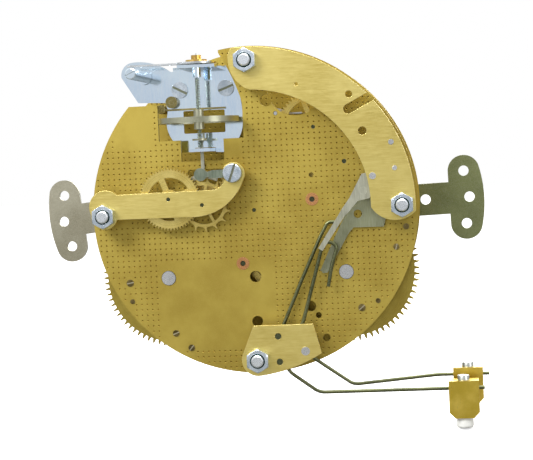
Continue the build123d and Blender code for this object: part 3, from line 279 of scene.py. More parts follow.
# %% [markdown]
# ## Effects that several metals share
#
# Real metal is never one flat colour. Five effects cover this movement, each a node group that is built once:
#
# - *tarnish* is a slow, cloudy change, as lacquer and fingers leave on brass;
# - *grain* is the fine straight scratching of rolled or brushed sheet, made by stretching noise one way;
# - *turning* is the rings that a lathe leaves round an arbor, made from the distance to the arbor;
# - *edge wear* finds sharp edges and brightens them, partly as rubbed metal and partly as a painted highlight
#   where a rounded edge would catch the light;
# - *sunk face* finds the floors of slots and countersinks, which get a colour of their own: painted shade on
#   the zinc fixings, bare bright metal on the browned screws.
#
# A group only puts out masks. The shader and its colours stay in each material.

# %% Group helper
VECTOR, FLOAT = "NodeSocketVector", "NodeSocketFloat"


def new_group(name, inputs, outputs):
    """A node group with named sockets; returns the tree and its input and output nodes."""
    tree = bpy.data.node_groups.new(name, "ShaderNodeTree")
    for label, kind, value in inputs:
        socket = tree.interface.new_socket(label, in_out="INPUT", socket_type=kind)
        if value is not None:
            socket.default_value = value
    for label, kind in outputs:
        tree.interface.new_socket(label, in_out="OUTPUT", socket_type=kind)
    return tree, tree.nodes.new("NodeGroupInput"), tree.nodes.new("NodeGroupOutput")


def socket_names(tree):
    return [item.name for item in tree.interface.items_tree]


print("group helper ready")

# %% Tarnish: cloudy, slow change


def make_tarnish():
    sockets = [("Place", VECTOR, None), ("Size", FLOAT, 12.0)]
    tree, inside, outside = new_group("tarnish", sockets, [("Mask", FLOAT)])
    scale = math(tree, "DIVIDE", 1.0 / MM, inside.outputs["Size"])
    broad = add(tree, "ShaderNodeTexNoise", _0=inside.outputs["Place"], Scale=scale, Detail=4.0,
                Roughness=0.6)
    mask = remap(tree, broad.outputs[0], 0.35, 0.68)
    tree.links.new(mask, outside.inputs["Mask"])
    return tree


tarnish = make_tarnish()
print("tarnish", socket_names(tarnish))

# %% Grain: straight brushing


def make_grain():
    sockets = [("Place", VECTOR, None), ("Stretch", VECTOR, (1.0, 1.0, 1.0)), ("Size", FLOAT, 0.3)]
    tree, inside, outside = new_group("grain", sockets, [("Value", FLOAT)])
    stretched = vector_math(tree, "MULTIPLY", inside.outputs["Place"], inside.outputs["Stretch"]).outputs[0]
    scale = math(tree, "DIVIDE", 1.0 / MM, inside.outputs["Size"])
    lines = add(tree, "ShaderNodeTexNoise", _0=stretched, Scale=scale, Detail=3.0, Roughness=0.7)
    tree.links.new(lines.outputs[0], outside.inputs["Value"])
    return tree


grain = make_grain()
print("grain", socket_names(grain))

# %% Turning: rings round an arbor


def make_turning():
    sockets = [("Place", VECTOR, None), ("Centre", VECTOR, (0.0, 0.0, 0.0)), ("Size", FLOAT, 0.25),
               ("Core", FLOAT, 2.0)]
    tree, inside, outside = new_group("turning", sockets, [("Rings", FLOAT), ("Core Mask", FLOAT)])
    away = vector_math(tree, "SUBTRACT", inside.outputs["Place"], inside.outputs["Centre"]).outputs[0]
    flat = vector_math(tree, "MULTIPLY", away, (1.0 / MM, 0.0, 1.0 / MM)).outputs[0]
    radius = vector_math(tree, "LENGTH", flat).outputs["Value"]
    frequency = math(tree, "DIVIDE", radius, inside.outputs["Size"])
    rings = add(tree, "ShaderNodeTexNoise", {"noise_dimensions": "1D"}, _1=frequency, Scale=1.0, Detail=2.0)
    core = math(tree, "LESS_THAN", radius, inside.outputs["Core"])
    tree.links.new(rings.outputs[0], outside.inputs["Rings"])
    tree.links.new(core, outside.inputs["Core Mask"])
    return tree


turning = make_turning()
print("turning", socket_names(turning))

# %% Edge wear: bright edges, partly rubbed metal and partly painted highlight


def make_edge_wear_and_highlight():
    sockets = [("Place", VECTOR, None), ("Width", FLOAT, 0.25)]
    tree, inside, outside = new_group("edge_wear_and_highlight", sockets, [("Mask", FLOAT)])
    width = math(tree, "MULTIPLY", inside.outputs["Width"], MM)
    rounded = add(tree, "ShaderNodeBevel", {"samples": 4}, Radius=width)
    surface = add(tree, "ShaderNodeNewGeometry")
    alike = vector_math(tree, "DOT_PRODUCT", rounded.outputs[0], surface.outputs["Normal"]).outputs["Value"]
    edge = remap(tree, alike, 0.995, 0.80)
    broken = add(tree, "ShaderNodeTexNoise", _0=inside.outputs["Place"], Scale=700.0, Detail=2.0)
    mask = math(tree, "MULTIPLY", edge, remap(tree, broken.outputs[0], 0.35, 0.6))
    tree.links.new(mask, outside.inputs["Mask"])
    return tree


edge_wear_and_highlight = make_edge_wear_and_highlight()
print("edge wear", socket_names(edge_wear_and_highlight))

# %% Sunk faces: floors of slots and countersinks
FACES_REAR = -0.9


def make_sunk_face():
    """Finds faces that look to the rear from below a level: the floors of slots and countersinks."""
    sockets = [("Place", VECTOR, None), ("Level", FLOAT, 0.0), ("From", FLOAT, 0.3), ("To", FLOAT, 0.9)]
    tree, inside, outside = new_group("sunk_face", sockets, [("Mask", FLOAT)])
    split = add(tree, "ShaderNodeSeparateXYZ", _0=inside.outputs["Place"])
    below_level = math(tree, "SUBTRACT", split.outputs["Y"], inside.outputs["Level"])
    depth = math(tree, "MULTIPLY", below_level, 1.0 / MM)
    surface = add(tree, "ShaderNodeNewGeometry")
    to_rear = add(tree, "ShaderNodeSeparateXYZ", _0=surface.outputs["True Normal"]).outputs["Y"]
    flat = math(tree, "LESS_THAN", to_rear, FACES_REAR)
    under = math(tree, "GREATER_THAN", depth, inside.outputs["From"])
    above = math(tree, "LESS_THAN", depth, inside.outputs["To"])
    mask = math(tree, "MULTIPLY", flat, math(tree, "MULTIPLY", under, above))
    tree.links.new(mask, outside.inputs["Mask"])
    return tree


sunk_face = make_sunk_face()
print("sunk face", socket_names(sunk_face))
print("node groups", [g.name for g in bpy.data.node_groups])

# %% [markdown]
# ## Building a metal
#
# A metal here is a Principled shader with full metallic. Its colour runs between two tones of the same
# metal, its roughness runs between two values, and a bump far below a tenth of a millimetre breaks up the
# highlights.
# `Finish` keeps the shader, its place coordinates and the small steps that every metal repeats.

# %% The finish helper


class Finish:
    """One material under construction: a Principled shader fed by masks."""

    def __init__(self, name, metallic=1.0):
        self.material = bpy.data.materials.new(name)
        self.material.use_nodes = True
        self.tree = self.material.node_tree
        self.shader = self.tree.nodes["Principled BSDF"]
        self.shader.inputs["Metallic"].default_value = metallic
        self.place = self.tree.nodes.new("ShaderNodeTexCoord").outputs["Object"]

    def use(self, group, output=0, **values):
        """Places a shared group with this material's own values and returns one of its outputs."""
        node = add(self.tree, "ShaderNodeGroup", {"node_tree": group}, Place=self.place, **values)
        return node.outputs[output]

    def mix(self, mask, first, second):
        node = self.tree.nodes.new("ShaderNodeMix")
        node.data_type = "RGBA"
        self.tree.links.new(mask, node.inputs["Factor"])
        for key, value in ((6, first), (7, second)):
            if isinstance(value, bpy.types.NodeSocket):
                self.tree.links.new(value, node.inputs[key])
            else:
                node.inputs[key].default_value = (*value, 1.0)
        return node.outputs[2]

    def colour(self, socket):
        self.tree.links.new(socket, self.shader.inputs["Base Color"])

    def rough(self, mask, low, high):
        spread = remap(self.tree, mask, 0.2, 0.8, low, high)
        self.tree.links.new(spread, self.shader.inputs["Roughness"])

    def relief(self, height, depth_mm, round_mm=0.0):
        """Fine bump, on top of edges that look rounded by round_mm."""
        bump = add(self.tree, "ShaderNodeBump", Height=height, Strength=1.0, Distance=depth_mm * MM)
        if round_mm:
            rounded = add(self.tree, "ShaderNodeBevel", {"samples": 4}, Radius=round_mm * MM)
            self.tree.links.new(rounded.outputs[0], bump.inputs["Normal"])
        self.tree.links.new(bump.outputs[0], self.shader.inputs["Normal"])

    def paint(self, *names):
        for name in names:
            piece = bpy.data.objects[name]
            piece.data.materials.clear()
            piece.data.materials.append(self.material)


print("finish steps", [step for step in vars(Finish) if not step.startswith("_")])

# %% [markdown]
# ## Sheet brass
#
# The bridges are pale, brushed sheet brass. A plain colour would look painted, so the recipe has three layers,
# and every sheet part of the movement uses it: tarnish sets the tone, grain lines vary it slightly, and worn
# edges go to bright metal, which also paints the highlight that a rounded edge would catch. A stretch below one
# draws the grain lines out along that axis. The plates are duller and get a recipe of their own further down.

# %% Sheet metal recipe


def sheet_metal(name, dark, light, bright, rough, stretch, grain_size=0.22, relief_mm=0.004, wear_and_highlight_mm=0.2,
                round_mm=0.0):
    finish = Finish(name)
    cloud = finish.use(tarnish, Size=16.0)
    lines = finish.use(grain, Stretch=stretch, Size=grain_size)
    tone = finish.mix(cloud, dark, light)
    streak = remap(finish.tree, lines, 0.3, 0.7, 0.0, 0.35)
    streaked = finish.mix(streak, tone, bright)
    # Bright edges: partly rubbed metal, partly a painted highlight.
    wear_and_highlight = finish.use(edge_wear_and_highlight, Width=wear_and_highlight_mm)
    finish.colour(finish.mix(wear_and_highlight, streaked, bright))
    finish.rough(lines, *rough)
    finish.relief(lines, relief_mm, round_mm)
    return finish


print("sheet metal recipe ready")

# %% Bridges
ALONG_X = (0.06, 1.0, 1.0)
ALONG_Z = (1.0, 1.0, 0.06)
NO_GRAIN = (1.0, 1.0, 1.0)
BRIDGE_DARK = (0.68, 0.53, 0.135)
BRIDGE_LIGHT = (0.80, 0.65, 0.20)
BRIDGE_BRIGHT = (0.92, 0.79, 0.34)
bridge_brass = sheet_metal("bridge_brass", BRIDGE_DARK, BRIDGE_LIGHT, BRIDGE_BRIGHT, (0.30, 0.42), ALONG_X,
                           round_mm=0.2)
bridge_brass.paint("escapement_bridge", "strike_bridge", "hammer_bracket")
print("bridges have", bridge_brass.material.name)

# %% [markdown]
# A hammer head is a small brass block, held on its wire by a plated clamp screw at the top. Block and screw are
# one CAD node, so they share one material, and the colour changes at the height where the screw's head begins.

# %% Hammer heads
HAMMER_DARK = (0.60, 0.43, 0.055)
HAMMER_LIGHT = (0.78, 0.58, 0.11)
HAMMER_EDGE = (0.80, 0.64, 0.22)
CLAMP_SCREW = (0.50, 0.52, 0.49)
CLAMP_SCREW_HEAD_MM = 1.5


def hammer_head_finish(node):
    """Gold-brown brass, with the plated clamp screw above the block's top."""
    finish = Finish(node + "_brass")
    cloud = finish.use(tarnish, Size=9.0)
    lines = finish.use(grain, Stretch=ALONG_Z, Size=0.25)
    brass = finish.mix(cloud, HAMMER_DARK, HAMMER_LIGHT)
    # Bright edges: partly rubbed brass, partly a painted highlight.
    wear_and_highlight = finish.use(edge_wear_and_highlight, Width=0.3)
    edged = finish.mix(wear_and_highlight, brass, HAMMER_EDGE)
    height = add(finish.tree, "ShaderNodeSeparateXYZ", _0=finish.place).outputs["Z"]
    screw_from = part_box(node)[1].z - CLAMP_SCREW_HEAD_MM * MM
    screw = math(finish.tree, "GREATER_THAN", height, screw_from)
    finish.colour(finish.mix(screw, edged, CLAMP_SCREW))
    finish.rough(lines, 0.26, 0.40)
    finish.relief(lines, 0.004)
    finish.paint(node)


hammer_head_finish("rear_hammer_head")
hammer_head_finish("front_hammer_head")
print("hammer heads have their brass")

# %% [markdown]
# The plates are dull ochre brass with a regular grid of small dimples. Shade is painted into them: the plate's
# own material darkens whatever lies just below its face. The depth below the face is all that it needs to know,
# and each plate's face is a known plane. The mask ends at the dimples' depth, so the other side of the plate
# stays unshaded.

# %% Plate material
PLATE_DARK = (0.38, 0.275, 0.050)
PLATE_LIGHT = (0.49, 0.375, 0.078)
PLATE_BRIGHT = (0.60, 0.475, 0.125)
# The painted shade in the dimples: its colour, how strong it gets, and the depths where it starts and is full.
DIMPLE_SHADE = (0.20, 0.115, 0.03)
DIMPLE_SHADE_SHARE = 0.70
SHADE_FROM_MM, SHADE_FULL_MM = 0.03, 0.22
DIMPLE_DEPTH_MM = 0.30
DEPTH_SLACK_MM = 0.05


def plate_finish(name, face):
    finish = Finish(name)
    cloud = finish.use(tarnish, Size=22.0)
    speckle = finish.use(grain, Stretch=NO_GRAIN, Size=0.16)
    tone = finish.mix(cloud, PLATE_DARK, PLATE_LIGHT)
    freckled = finish.mix(remap(finish.tree, speckle, 0.35, 0.75, 0.0, 0.30), tone, PLATE_BRIGHT)
    depth = add(finish.tree, "ShaderNodeSeparateXYZ", _0=finish.place).outputs["Y"]
    # Painted shade: the colour darkens below the plate's face, down to the dimples' depth.
    below = remap(finish.tree, depth, face + SHADE_FROM_MM * MM, face + SHADE_FULL_MM * MM, 0.0, DIMPLE_SHADE_SHARE)
    shallow = math(finish.tree, "LESS_THAN", depth, face + (DIMPLE_DEPTH_MM + DEPTH_SLACK_MM) * MM)
    painted_hollow_shade = math(finish.tree, "MULTIPLY", below, shallow)
    finish.colour(finish.mix(painted_hollow_shade, freckled, DIMPLE_SHADE))
    finish.rough(speckle, 0.40, 0.56)
    finish.relief(speckle, 0.006)
    return finish


rear_plate_brass = plate_finish("rear_plate_brass", rear_face)
front_plate_brass = plate_finish("front_plate_brass", front_low.y)
print("plates", rear_plate_brass.material.name, front_plate_brass.material.name)

# %% [markdown]
# ## The dimpled plates
#
# A bump texture would draw the dimples, but they are real dents in the sheet and they should survive a close
# look, so we cut them. All the small cones of a plate, about two thousand, go into one mesh, and one boolean
# takes them out of a copy of the CAD plate. Where may a cone stand? We ask the CAD mesh itself: rays are
# dropped on the plate round each grid point, and the point counts only if every ray lands on the face. That
# keeps clear of every hole.

# %% Dimple grid
DIMPLE_PITCH = 1.82 * MM
DIMPLE_RADIUS = 0.32 * MM
DIMPLE_DEPTH = DIMPLE_DEPTH_MM * MM
DIMPLE_SIDES = 8
CLEARANCE = 0.75 * MM
PROBES = 8
RAY_START = 0.01
ON_FACE = 0.00001
# Low and high (x, z) corners of the panels that carry no dimples.
BLANK_PANELS = [((-0.0320, -0.0450), (0.0050, -0.0170)), ((-0.0460, 0.0225), (-0.0320, 0.0340)),
                ((-0.0100, 0.0185), (-0.0030, 0.0240)), ((-0.0560, -0.0045), (-0.0420, 0.0045))]


def in_a_blank(x, z):
    return any(low[0] < x < high[0] and low[1] < z < high[1] for low, high in BLANK_PANELS)


def grid_places(plate, face):
    """Grid points whose surroundings all lie on the plate's rear face."""
    corners = [vertex.co for vertex in plate.data.vertices]
    tree = BVHTree.FromPolygons(corners, [polygon.vertices for polygon in plate.data.polygons])
    angles = [2 * pi * n / PROBES for n in range(PROBES)]
    ring = [(CLEARANCE * cos(a), CLEARANCE * sin(a)) for a in angles] + [(0.0, 0.0)]
    count = int(plate_radius / DIMPLE_PITCH)
    found = []
    for row in range(-count, count + 1):
        for column in range(-count, count + 1):
            x, z = (column + 0.5) * DIMPLE_PITCH, (row + 0.5) * DIMPLE_PITCH
            if in_a_blank(x, z):
                continue
            lands = [tree.ray_cast(Vector((x + dx, face - RAY_START, z + dz)), Vector((0, 1, 0)))[0]
                     for dx, dz in ring]
            if all(hit is not None and abs(hit.y - face) < ON_FACE for hit in lands):
                found.append((x, z))
    return found


print("grid lines each way", 2 * int(plate_radius / DIMPLE_PITCH) + 1)

# %% Cones that cut the dimples
CONE_PROUD = 0.05 * MM


def cone_mesh(places, face):
    """All the cones of one plate in one mesh, points inwards, with their wide ends proud of the face."""
    mesh = bpy.data.meshes.new("dimple_cones")
    vertices, faces = [], []
    wide = DIMPLE_RADIUS * (1 + CONE_PROUD / DIMPLE_DEPTH)
    for x, z in places:
        start = len(vertices)
        for side in range(DIMPLE_SIDES):
            angle = 2 * pi * side / DIMPLE_SIDES
            vertices.append((x + wide * cos(angle), face - CONE_PROUD, z + wide * sin(angle)))
        vertices.append((x, face + DIMPLE_DEPTH, z))
        tip = start + DIMPLE_SIDES
        for side in range(DIMPLE_SIDES):
            faces.append((start + side, start + (side + 1) % DIMPLE_SIDES, tip))
        faces.append(tuple(start + side for side in reversed(range(DIMPLE_SIDES))))
    mesh.from_pydata(vertices, [], faces)
    built = bmesh.new()
    built.from_mesh(mesh)
    bmesh.ops.recalc_face_normals(built, faces=built.faces)
    built.to_mesh(mesh)
    built.free()
    return mesh


print("a cone is", round(2 * DIMPLE_RADIUS / MM, 2), "mm wide at the face and", DIMPLE_DEPTH_MM, "mm deep")

# %% Dimpled plates
PLATE_SEAM = 0.000001


def dimpled_plate(node, name, face, finish):
    source = nodes[node]
    places = grid_places(source, face)
    plate = bpy.data.objects.new(name, source.data.copy())
    cutter = bpy.data.objects.new("cutter", cone_mesh(places, face))
    for piece in (plate, cutter):
        bpy.context.scene.collection.objects.link(piece)
    joined = bmesh.new()
    joined.from_mesh(plate.data)
    bmesh.ops.remove_doubles(joined, verts=joined.verts, dist=PLATE_SEAM)
    joined.to_mesh(plate.data)
    joined.free()
    cut = plate.modifiers.new("dimples", "BOOLEAN")
    cut.operation, cut.solver, cut.object = "DIFFERENCE", "MANIFOLD", cutter
    bpy.context.view_layer.update()
    result = bpy.data.meshes.new_from_object(plate.evaluated_get(bpy.context.evaluated_depsgraph_get()))
    plate.modifiers.clear()
    plate.data = result
    bpy.data.objects.remove(cutter)
    for polygon in result.polygons:
        polygon.use_smooth = False
    if "custom_normal" in result.attributes:
        result.attributes.remove(result.attributes["custom_normal"])
    finish.paint(name)
    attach(plate, "root")
    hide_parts(node)
    print(name, "has", len(places), "dimples and", len(result.polygons), "faces")


dimpled_plate("back_plate", "dimpled_back_plate", rear_face, rear_plate_brass)
dimpled_plate("front_plate", "dimpled_front_plate", front_low.y, front_plate_brass)

# %% [markdown]
# ## Turned and cut wheels
#
# A wheel and its steel arbor are one CAD node, as they are one riveted unit on the bench. The turning group
# measures the distance to the arbor, so one mask can make the core steel and leave the wheel brass, and the
# same distance drives the fine rings that the lathe left. The great wheels and barrel drums are as dull as the
# plates, so they take the plates' two tones.

# %% Wheel recipe
WHEEL_DARK = (0.62, 0.47, 0.12)
WHEEL_LIGHT = (0.84, 0.68, 0.23)
PIVOT_DEPTH_MM = 1.6
PIVOT_OIL = (0.085, 0.095, 0.050)
STEEL_DARK = (0.30, 0.31, 0.32)
STEEL_LIGHT = (0.62, 0.64, 0.67)


def turned_wheel(node, core_mm, dark, light):
    finish = Finish(node + "_brass")
    centre = tuple(middle(node))
    rings = finish.use(turning, 0, Centre=centre, Size=0.18, Core=core_mm)
    core = finish.use(turning, 1, Centre=centre, Size=0.18, Core=core_mm)
    cloud = finish.use(tarnish, Size=7.0)
    brass = finish.mix(cloud, dark, light)
    ringed = finish.mix(remap(finish.tree, rings, 0.3, 0.7, 0.0, 0.4), brass, light)
    steel = finish.mix(rings, STEEL_DARK, STEEL_LIGHT)
    depth = add(finish.tree, "ShaderNodeSeparateXYZ", _0=finish.place).outputs["Y"]
    pivot = math(finish.tree, "LESS_THAN", depth, rear_face + PIVOT_DEPTH_MM * MM)
    oiled = finish.mix(pivot, steel, PIVOT_OIL)
    finish.colour(finish.mix(core, ringed, oiled))
    finish.rough(rings, 0.26, 0.40)
    finish.relief(rings, 0.004)
    finish.paint(node)


print("wheel recipe ready")

# %% Wheels
BRIGHT_WHEELS = {"third_wheel": 1.6, "escape_wheel": 1.2, "intermediate_wheel": 2.6, "centre_wheel": 3.0,
                 "second_wheel": 2.2, "strike_second_wheel": 2.6, "strike_third_wheel": 2.6,
                 "warning_wheel": 2.2, "minute_wheel": 1.0, "hour_wheel": 0.0}
DULL_WHEELS = ("time_great_wheel", "strike_great_wheel", "time_barrel_drum", "strike_barrel_drum")
for wheel_node, core_mm in BRIGHT_WHEELS.items():
    turned_wheel(wheel_node, core_mm, WHEEL_DARK, WHEEL_LIGHT)
for wheel_node in DULL_WHEELS:
    turned_wheel(wheel_node, 0.0, PLATE_DARK, PLATE_LIGHT)
print("wheels and drums", len(BRIGHT_WHEELS) + len(DULL_WHEELS))

# %% [markdown]
# ## Steel, zinc, nickel and copper
#
# Bought screws and nuts are zinc plated and bluish white, and shade is painted into their slots and
# countersinks.
# Slot and screw are one mesh, so the sunk face group picks the slot's floor out by its depth.

# %% Nuts and screws


def zinc_finish(node, sunk_from, sunk_to, hollow_shade_colour):
    """Bluish zinc with painted shade on the floors of its slots or countersinks."""
    finish = Finish(node + "_zinc")
    cloud = finish.use(tarnish, Size=3.0)
    lines = finish.use(grain, Stretch=NO_GRAIN, Size=0.25)
    plated = finish.mix(cloud, (0.52, 0.60, 0.68), (0.76, 0.83, 0.90))
    # Bright edges: partly rubbed zinc, partly a painted highlight.
    wear_and_highlight = finish.use(edge_wear_and_highlight, Width=0.2)
    edged = finish.mix(wear_and_highlight, plated, (0.92, 0.96, 1.0))
    # Painted shade on the floors of the slots and countersinks.
    painted_hollow_shade = finish.use(sunk_face, Level=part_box(node)[0].y, From=sunk_from, To=sunk_to)
    finish.colour(finish.mix(painted_hollow_shade, edged, hollow_shade_colour))
    finish.rough(lines, 0.22, 0.38)
    finish.relief(lines, 0.003)
    finish.paint(node)


# The dark colours given to the sunk faces are painted shade.
zinc_finish("pillar_nuts", 0.4, 0.8, (0.012, 0.045, 0.022))
zinc_finish("bridge_screw", 0.4, 1.0, (0.30, 0.31, 0.22))
zinc_finish("bracket_screws", 0.25, 1.0, (0.27, 0.29, 0.20))


def plate_screw_finish():
    """Small fixings browned by old oil, with the slots still bright."""
    finish = Finish("browned_screws")
    cloud = finish.use(tarnish, Size=4.0)
    lines = finish.use(grain, Stretch=NO_GRAIN, Size=0.2)
    brown = finish.mix(cloud, (0.10, 0.075, 0.025), (0.26, 0.20, 0.08))
    # Lighter edges: partly rubbed metal, partly a painted highlight.
    wear_and_highlight = finish.use(edge_wear_and_highlight, Width=0.12)
    edged = finish.mix(wear_and_highlight, brown, (0.42, 0.36, 0.20))
    slot = finish.use(sunk_face, Level=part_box("plate_screws")[0].y, From=0.2, To=0.8)
    finish.colour(finish.mix(slot, edged, (0.66, 0.60, 0.42)))
    finish.rough(lines, 0.28, 0.42)
    finish.relief(lines, 0.003)
    finish.paint("plate_screws")


plate_screw_finish()
print("nuts and screws ready")

# %% [markdown]
# One recipe, the sheet metal one, serves all the remaining metals, and one table holds what differs: three
# tones, the range of roughness and the way of the grain. The balance bracket is nickel, close to a mirror but
# clouded in places. The trip levers are oiled sheet steel, the right ear has an olive skin and the left one a
# beige skin, the hammer wires are dark, and two bushes in the plate are pressed copper alloy.

# %% Nickel, steel and copper
METALS = {
    "nickel_plate": ((0.66, 0.80, 0.94), (0.78, 0.92, 1.0), (0.95, 0.98, 1.0), (0.05, 0.12), ALONG_Z),
    "bright_steel": ((0.48, 0.49, 0.50), (0.70, 0.71, 0.72), (0.88, 0.88, 0.88), (0.22, 0.38), NO_GRAIN),
    "post_brass": ((0.22, 0.18, 0.05), (0.38, 0.31, 0.10), (0.70, 0.62, 0.36), (0.24, 0.38), NO_GRAIN),
    "lever_steel": ((0.38, 0.38, 0.28), (0.54, 0.54, 0.42), (0.78, 0.78, 0.66), (0.30, 0.46), ALONG_Z),
    "dark_lever_steel": ((0.20, 0.21, 0.12), (0.32, 0.335, 0.20), (0.54, 0.55, 0.42), (0.32, 0.48), ALONG_Z),
    "cock_steel": ((0.15, 0.185, 0.13), (0.24, 0.285, 0.205), (0.46, 0.50, 0.42), (0.30, 0.44), ALONG_Z),
    "olive_steel": ((0.14, 0.160, 0.055), (0.20, 0.225, 0.085), (0.42, 0.42, 0.30), (0.40, 0.55), NO_GRAIN),
    "beige_steel": ((0.24, 0.22, 0.15), (0.34, 0.32, 0.24), (0.56, 0.54, 0.44), (0.36, 0.52), NO_GRAIN),
    "spring_steel": ((0.10, 0.11, 0.12), (0.20, 0.21, 0.23), (0.45, 0.47, 0.50), (0.22, 0.38), NO_GRAIN),
    "balance_metal": ((0.27, 0.27, 0.17), (0.42, 0.42, 0.30), (0.66, 0.66, 0.54), (0.30, 0.42), NO_GRAIN),
    "wire_steel": ((0.050, 0.060, 0.022), (0.13, 0.14, 0.060), (0.34, 0.35, 0.22), (0.26, 0.42), NO_GRAIN),
    "copper_bush": ((0.50, 0.19, 0.06), (0.72, 0.33, 0.12), (0.88, 0.52, 0.28), (0.22, 0.36), NO_GRAIN),
}
SPECIAL = {"nickel_plate": {"relief_mm": 0.0012}, "post_brass": {"wear_and_highlight_mm": 0.3}}
MADE_OF = {
    "nickel_plate": ["balance_bracket", "balance_frame", "rating_screw"],
    "bright_steel": ["cannon_pinion", "fly", "bridge_rivets", "time_winding_arbor", "strike_winding_arbor"],
    "post_brass": ["bracket_posts"],
    "lever_steel": ["front_trip_lever", "strike_rack", "pallet_lever"],
    "dark_lever_steel": ["rear_trip_lever"],
    "cock_steel": ["lever_cock"],
    "olive_steel": ["mounting_ear_right"],
    "beige_steel": ["mounting_ear_left"],
    "spring_steel": ["time_mainspring", "strike_mainspring", "click_springs", "suspension_wire", "time_click",
                     "strike_click", "time_ratchet_wheel", "strike_ratchet_wheel"],
    "balance_metal": ["balance_wheel", "balance_roller"],
    "wire_steel": ["rear_hammer_wire", "front_hammer_wire"],
    "copper_bush": ["arbor_bushes"],
}
for metal, recipe in METALS.items():
    sheet_metal(metal, *recipe, **SPECIAL.get(metal, {})).paint(*MADE_OF[metal])
print("metals", len(METALS), "on", sum(len(pieces) for pieces in MADE_OF.values()), "pieces")

# %% [markdown]
# The pillars are brass between the plates, and their threaded ends that stand out of the nuts are zinc plated.
# The regulator is a steel disc that carries a brass disc and a brass boss, one above the other. Each is a
# single CAD node, so its colour follows the depth or the height.

# %% Pillars and regulator
PLATE_PACK = (rear_face, front_high.y)
PLATED_THREAD_FROM = 5.5 * MM
STEEL_DISC_HEIGHT = 0.65 * MM
REGULATOR_BRASS_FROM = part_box("regulator_lever")[0].z + STEEL_DISC_HEIGHT


def pillar_finish():
    finish = Finish("pillar_brass")
    cloud = finish.use(tarnish, Size=5.0)
    lines = finish.use(grain, Stretch=NO_GRAIN, Size=0.2)
    brass = finish.mix(cloud, WHEEL_DARK, WHEEL_LIGHT)
    depth = add(finish.tree, "ShaderNodeSeparateXYZ", _0=finish.place).outputs["Y"]
    from_middle = math(finish.tree, "ABSOLUTE", math(finish.tree, "SUBTRACT", depth, sum(PLATE_PACK) / 2))
    thread_from = (PLATE_PACK[1] - PLATE_PACK[0]) / 2 + PLATED_THREAD_FROM
    plated = math(finish.tree, "GREATER_THAN", from_middle, thread_from)
    finish.colour(finish.mix(plated, brass, (0.80, 0.84, 0.88)))
    finish.rough(lines, 0.22, 0.38)
    finish.relief(lines, 0.003)
    return finish


def regulator_finish():
    finish = Finish("regulator_two_tone")
    cloud = finish.use(tarnish, Size=3.0)
    lines = finish.use(grain, Stretch=NO_GRAIN, Size=0.2)
    steel = finish.mix(cloud, (0.60, 0.62, 0.62), (0.82, 0.84, 0.85))
    brass = finish.mix(cloud, (0.62, 0.38, 0.09), (0.76, 0.52, 0.16))
    height = add(finish.tree, "ShaderNodeSeparateXYZ", _0=finish.place).outputs["Z"]
    finish.colour(finish.mix(math(finish.tree, "GREATER_THAN", height, REGULATOR_BRASS_FROM), steel, brass))
    finish.rough(lines, 0.18, 0.32)
    finish.relief(lines, 0.003)
    return finish


pillar_finish().paint("pillars", "bridge_spacers")
regulator_finish().paint("regulator_lever")
print("regulator is brass above", round(REGULATOR_BRASS_FROM / MM, 2), "mm")

# %% [markdown]
# ## Plastic hammer tips
#
# The striking ends are pale moulded plastic. Plastic isn't metallic: it has a soft gloss and lets a little
# light in under the skin, and a faint mottling keeps it from looking like paper.

# %% Tip plastic
LIGHT_REACH = 1.0 * MM


def tip_finish():
    finish = Finish("tip_plastic", metallic=0.0)
    cloud = finish.use(tarnish, Size=2.5)
    speckle = finish.use(grain, Stretch=NO_GRAIN, Size=0.25)
    finish.colour(finish.mix(cloud, (0.74, 0.74, 0.70), (0.88, 0.88, 0.85)))
    finish.rough(speckle, 0.38, 0.52)
    finish.relief(speckle, 0.01)
    finish.shader.inputs["Subsurface Weight"].default_value = 0.15
    finish.shader.inputs["Subsurface Radius"].default_value = (LIGHT_REACH, LIGHT_REACH, LIGHT_REACH)
    return finish


tip_finish().paint("rear_hammer_tip", "front_hammer_tip")
print("hammer tips ready")

# %% [markdown]
# ## The hairspring
#
# On a floating balance the spring is a long double coil, wound the opposite way above and below, and the
# balance hangs from it. The CAD has three thin tubes of the coil's outer size. Each is replaced here by real
# wire: one helix per stretch, as a mesh tube whose section is carried along the helix.

# %% Helix
WIRE_R = 0.13 * MM
COIL_PITCH = 0.52 * MM
STEPS_PER_TURN = 14
WIRE_SIDES = 6


def helix_points(centre, radius, low, high, hand):
    turns = (high - low) / COIL_PITCH
    count = int(turns * STEPS_PER_TURN)
    for n in range(count + 1):
        angle = hand * 2 * pi * turns * n / count
        height = low + (high - low) * n / count
        yield Vector((centre.x + radius * cos(angle), centre.y + radius * sin(angle), height))


print("coils per mm", round(MM / COIL_PITCH, 2))

# %% Tube of wire


def wire_mesh(name, lines, radius):
    """Tubes of round section along lists of points, capped at both ends."""
    vertices, faces = [], []
    for line in lines:
        points = list(line)
        start = len(vertices)
        for n, point in enumerate(points):
            ahead = (points[min(n + 1, len(points) - 1)] - points[max(n - 1, 0)]).normalized()
            across = ahead.cross(Vector((0, 0, 1))).normalized()
            other = ahead.cross(across)
            for side in range(WIRE_SIDES):
                angle = 2 * pi * side / WIRE_SIDES
                vertices.append(point + radius * (across * cos(angle) + other * sin(angle)))
        for n in range(len(points) - 1):
            ring, following = start + n * WIRE_SIDES, start + (n + 1) * WIRE_SIDES
            for side in range(WIRE_SIDES):
                beside = (side + 1) % WIRE_SIDES
                faces.append((ring + side, ring + beside, following + beside, following + side))
        faces.append(tuple(start + side for side in reversed(range(WIRE_SIDES))))
        last = start + (len(points) - 1) * WIRE_SIDES
        faces.append(tuple(last + side for side in range(WIRE_SIDES)))
    mesh = bpy.data.meshes.new(name)
    mesh.from_pydata(vertices, [], faces)
    mesh.shade_smooth()
    piece = bpy.data.objects.new(name, mesh)
    bpy.context.scene.collection.objects.link(piece)
    return piece


print("wire is", round(2 * WIRE_R / MM, 2), "mm thick with", WIRE_SIDES, "sides")

# %% Hairspring


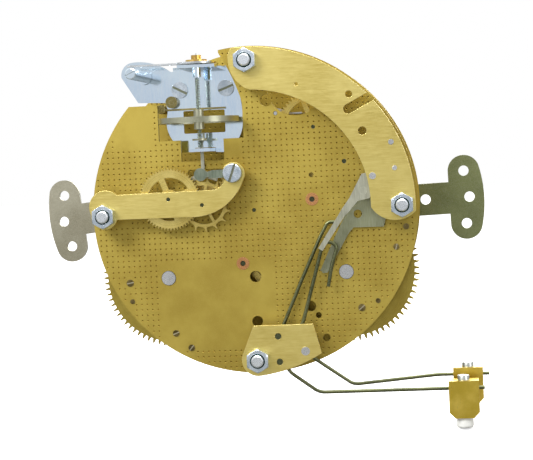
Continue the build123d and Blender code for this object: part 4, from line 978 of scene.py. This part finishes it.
def make_hairspring():
    spring_low, spring_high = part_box("balance_hairspring")
    roller_low, roller_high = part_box("balance_roller")
    hub_low, hub_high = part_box("balance_wheel")
    centre = (spring_low + spring_high) / 2
    radius = (spring_high.x - spring_low.x) / 2 - WIRE_R
    gap = WIRE_R
    stretches = [(spring_low.z + gap, roller_low.z - gap, -1), (roller_high.z + gap, hub_low.z - gap, -1),
                 (hub_high.z + gap, spring_high.z - gap, 1)]
    lines = [helix_points(centre, radius, low, high, hand) for low, high, hand in stretches]
    spring = wire_mesh("coiled_hairspring", lines, WIRE_R)
    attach(spring, "balance")
    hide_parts("balance_hairspring")
    print("hairspring wire, faces:", len(spring.data.polygons))


make_hairspring()
hairspring_steel = sheet_metal("hairspring_steel", (0.10, 0.14, 0.10), (0.20, 0.25, 0.18),
                               (0.50, 0.55, 0.45), (0.18, 0.30), NO_GRAIN)
hairspring_steel.paint("coiled_hairspring")

# %% [markdown]
# ## Softened edges
#
# A thin bright line along an edge is what makes a render read as metal. The bridges get theirs in the shader,
# where a rounded normal costs no geometry. Nuts, screw heads and hammer heads are chunky enough for a real
# bevel: a weld closes the seams of the CAD mesh and a small bevel rounds its sharp edges. Both are modifiers,
# so the CAD mesh itself stays as it is.

# %% Rolled edges
SEAM_WELD = 0.000002
SHARP_FROM = 35.0


def soften(node, width_mm):
    piece = nodes[node]
    weld = piece.modifiers.new("seams", "WELD")
    weld.merge_threshold = SEAM_WELD
    bevel = piece.modifiers.new("rolled_edge", "BEVEL")
    bevel.width = width_mm * MM
    bevel.segments = 2
    bevel.limit_method = "ANGLE"
    bevel.angle_limit = radians(SHARP_FROM)
    bevel.use_clamp_overlap = True
    bevel.harden_normals = True


ROLLED_EDGES = {"pillar_nuts": 0.12, "bridge_screw": 0.10, "bracket_screws": 0.08, "rear_hammer_head": 0.15,
                "front_hammer_head": 0.15}
for chunky_node, width_mm in ROLLED_EDGES.items():
    soften(chunky_node, width_mm)
print("softened", len(ROLLED_EDGES), "nodes")

# %% [markdown]
# ## How far the object grew
#
# How far the dressed object grew past the box that the CAD gave it is printed for each axis, in millimetres.

# %% Sizes and finish
made_low, made_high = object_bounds()
grown = [max(a - b, d - c) for a, b, c, d in zip(cad_low, made_low, cad_high, made_high)]
print("grew by mm", [round(length / MM, 3) for length in grown])
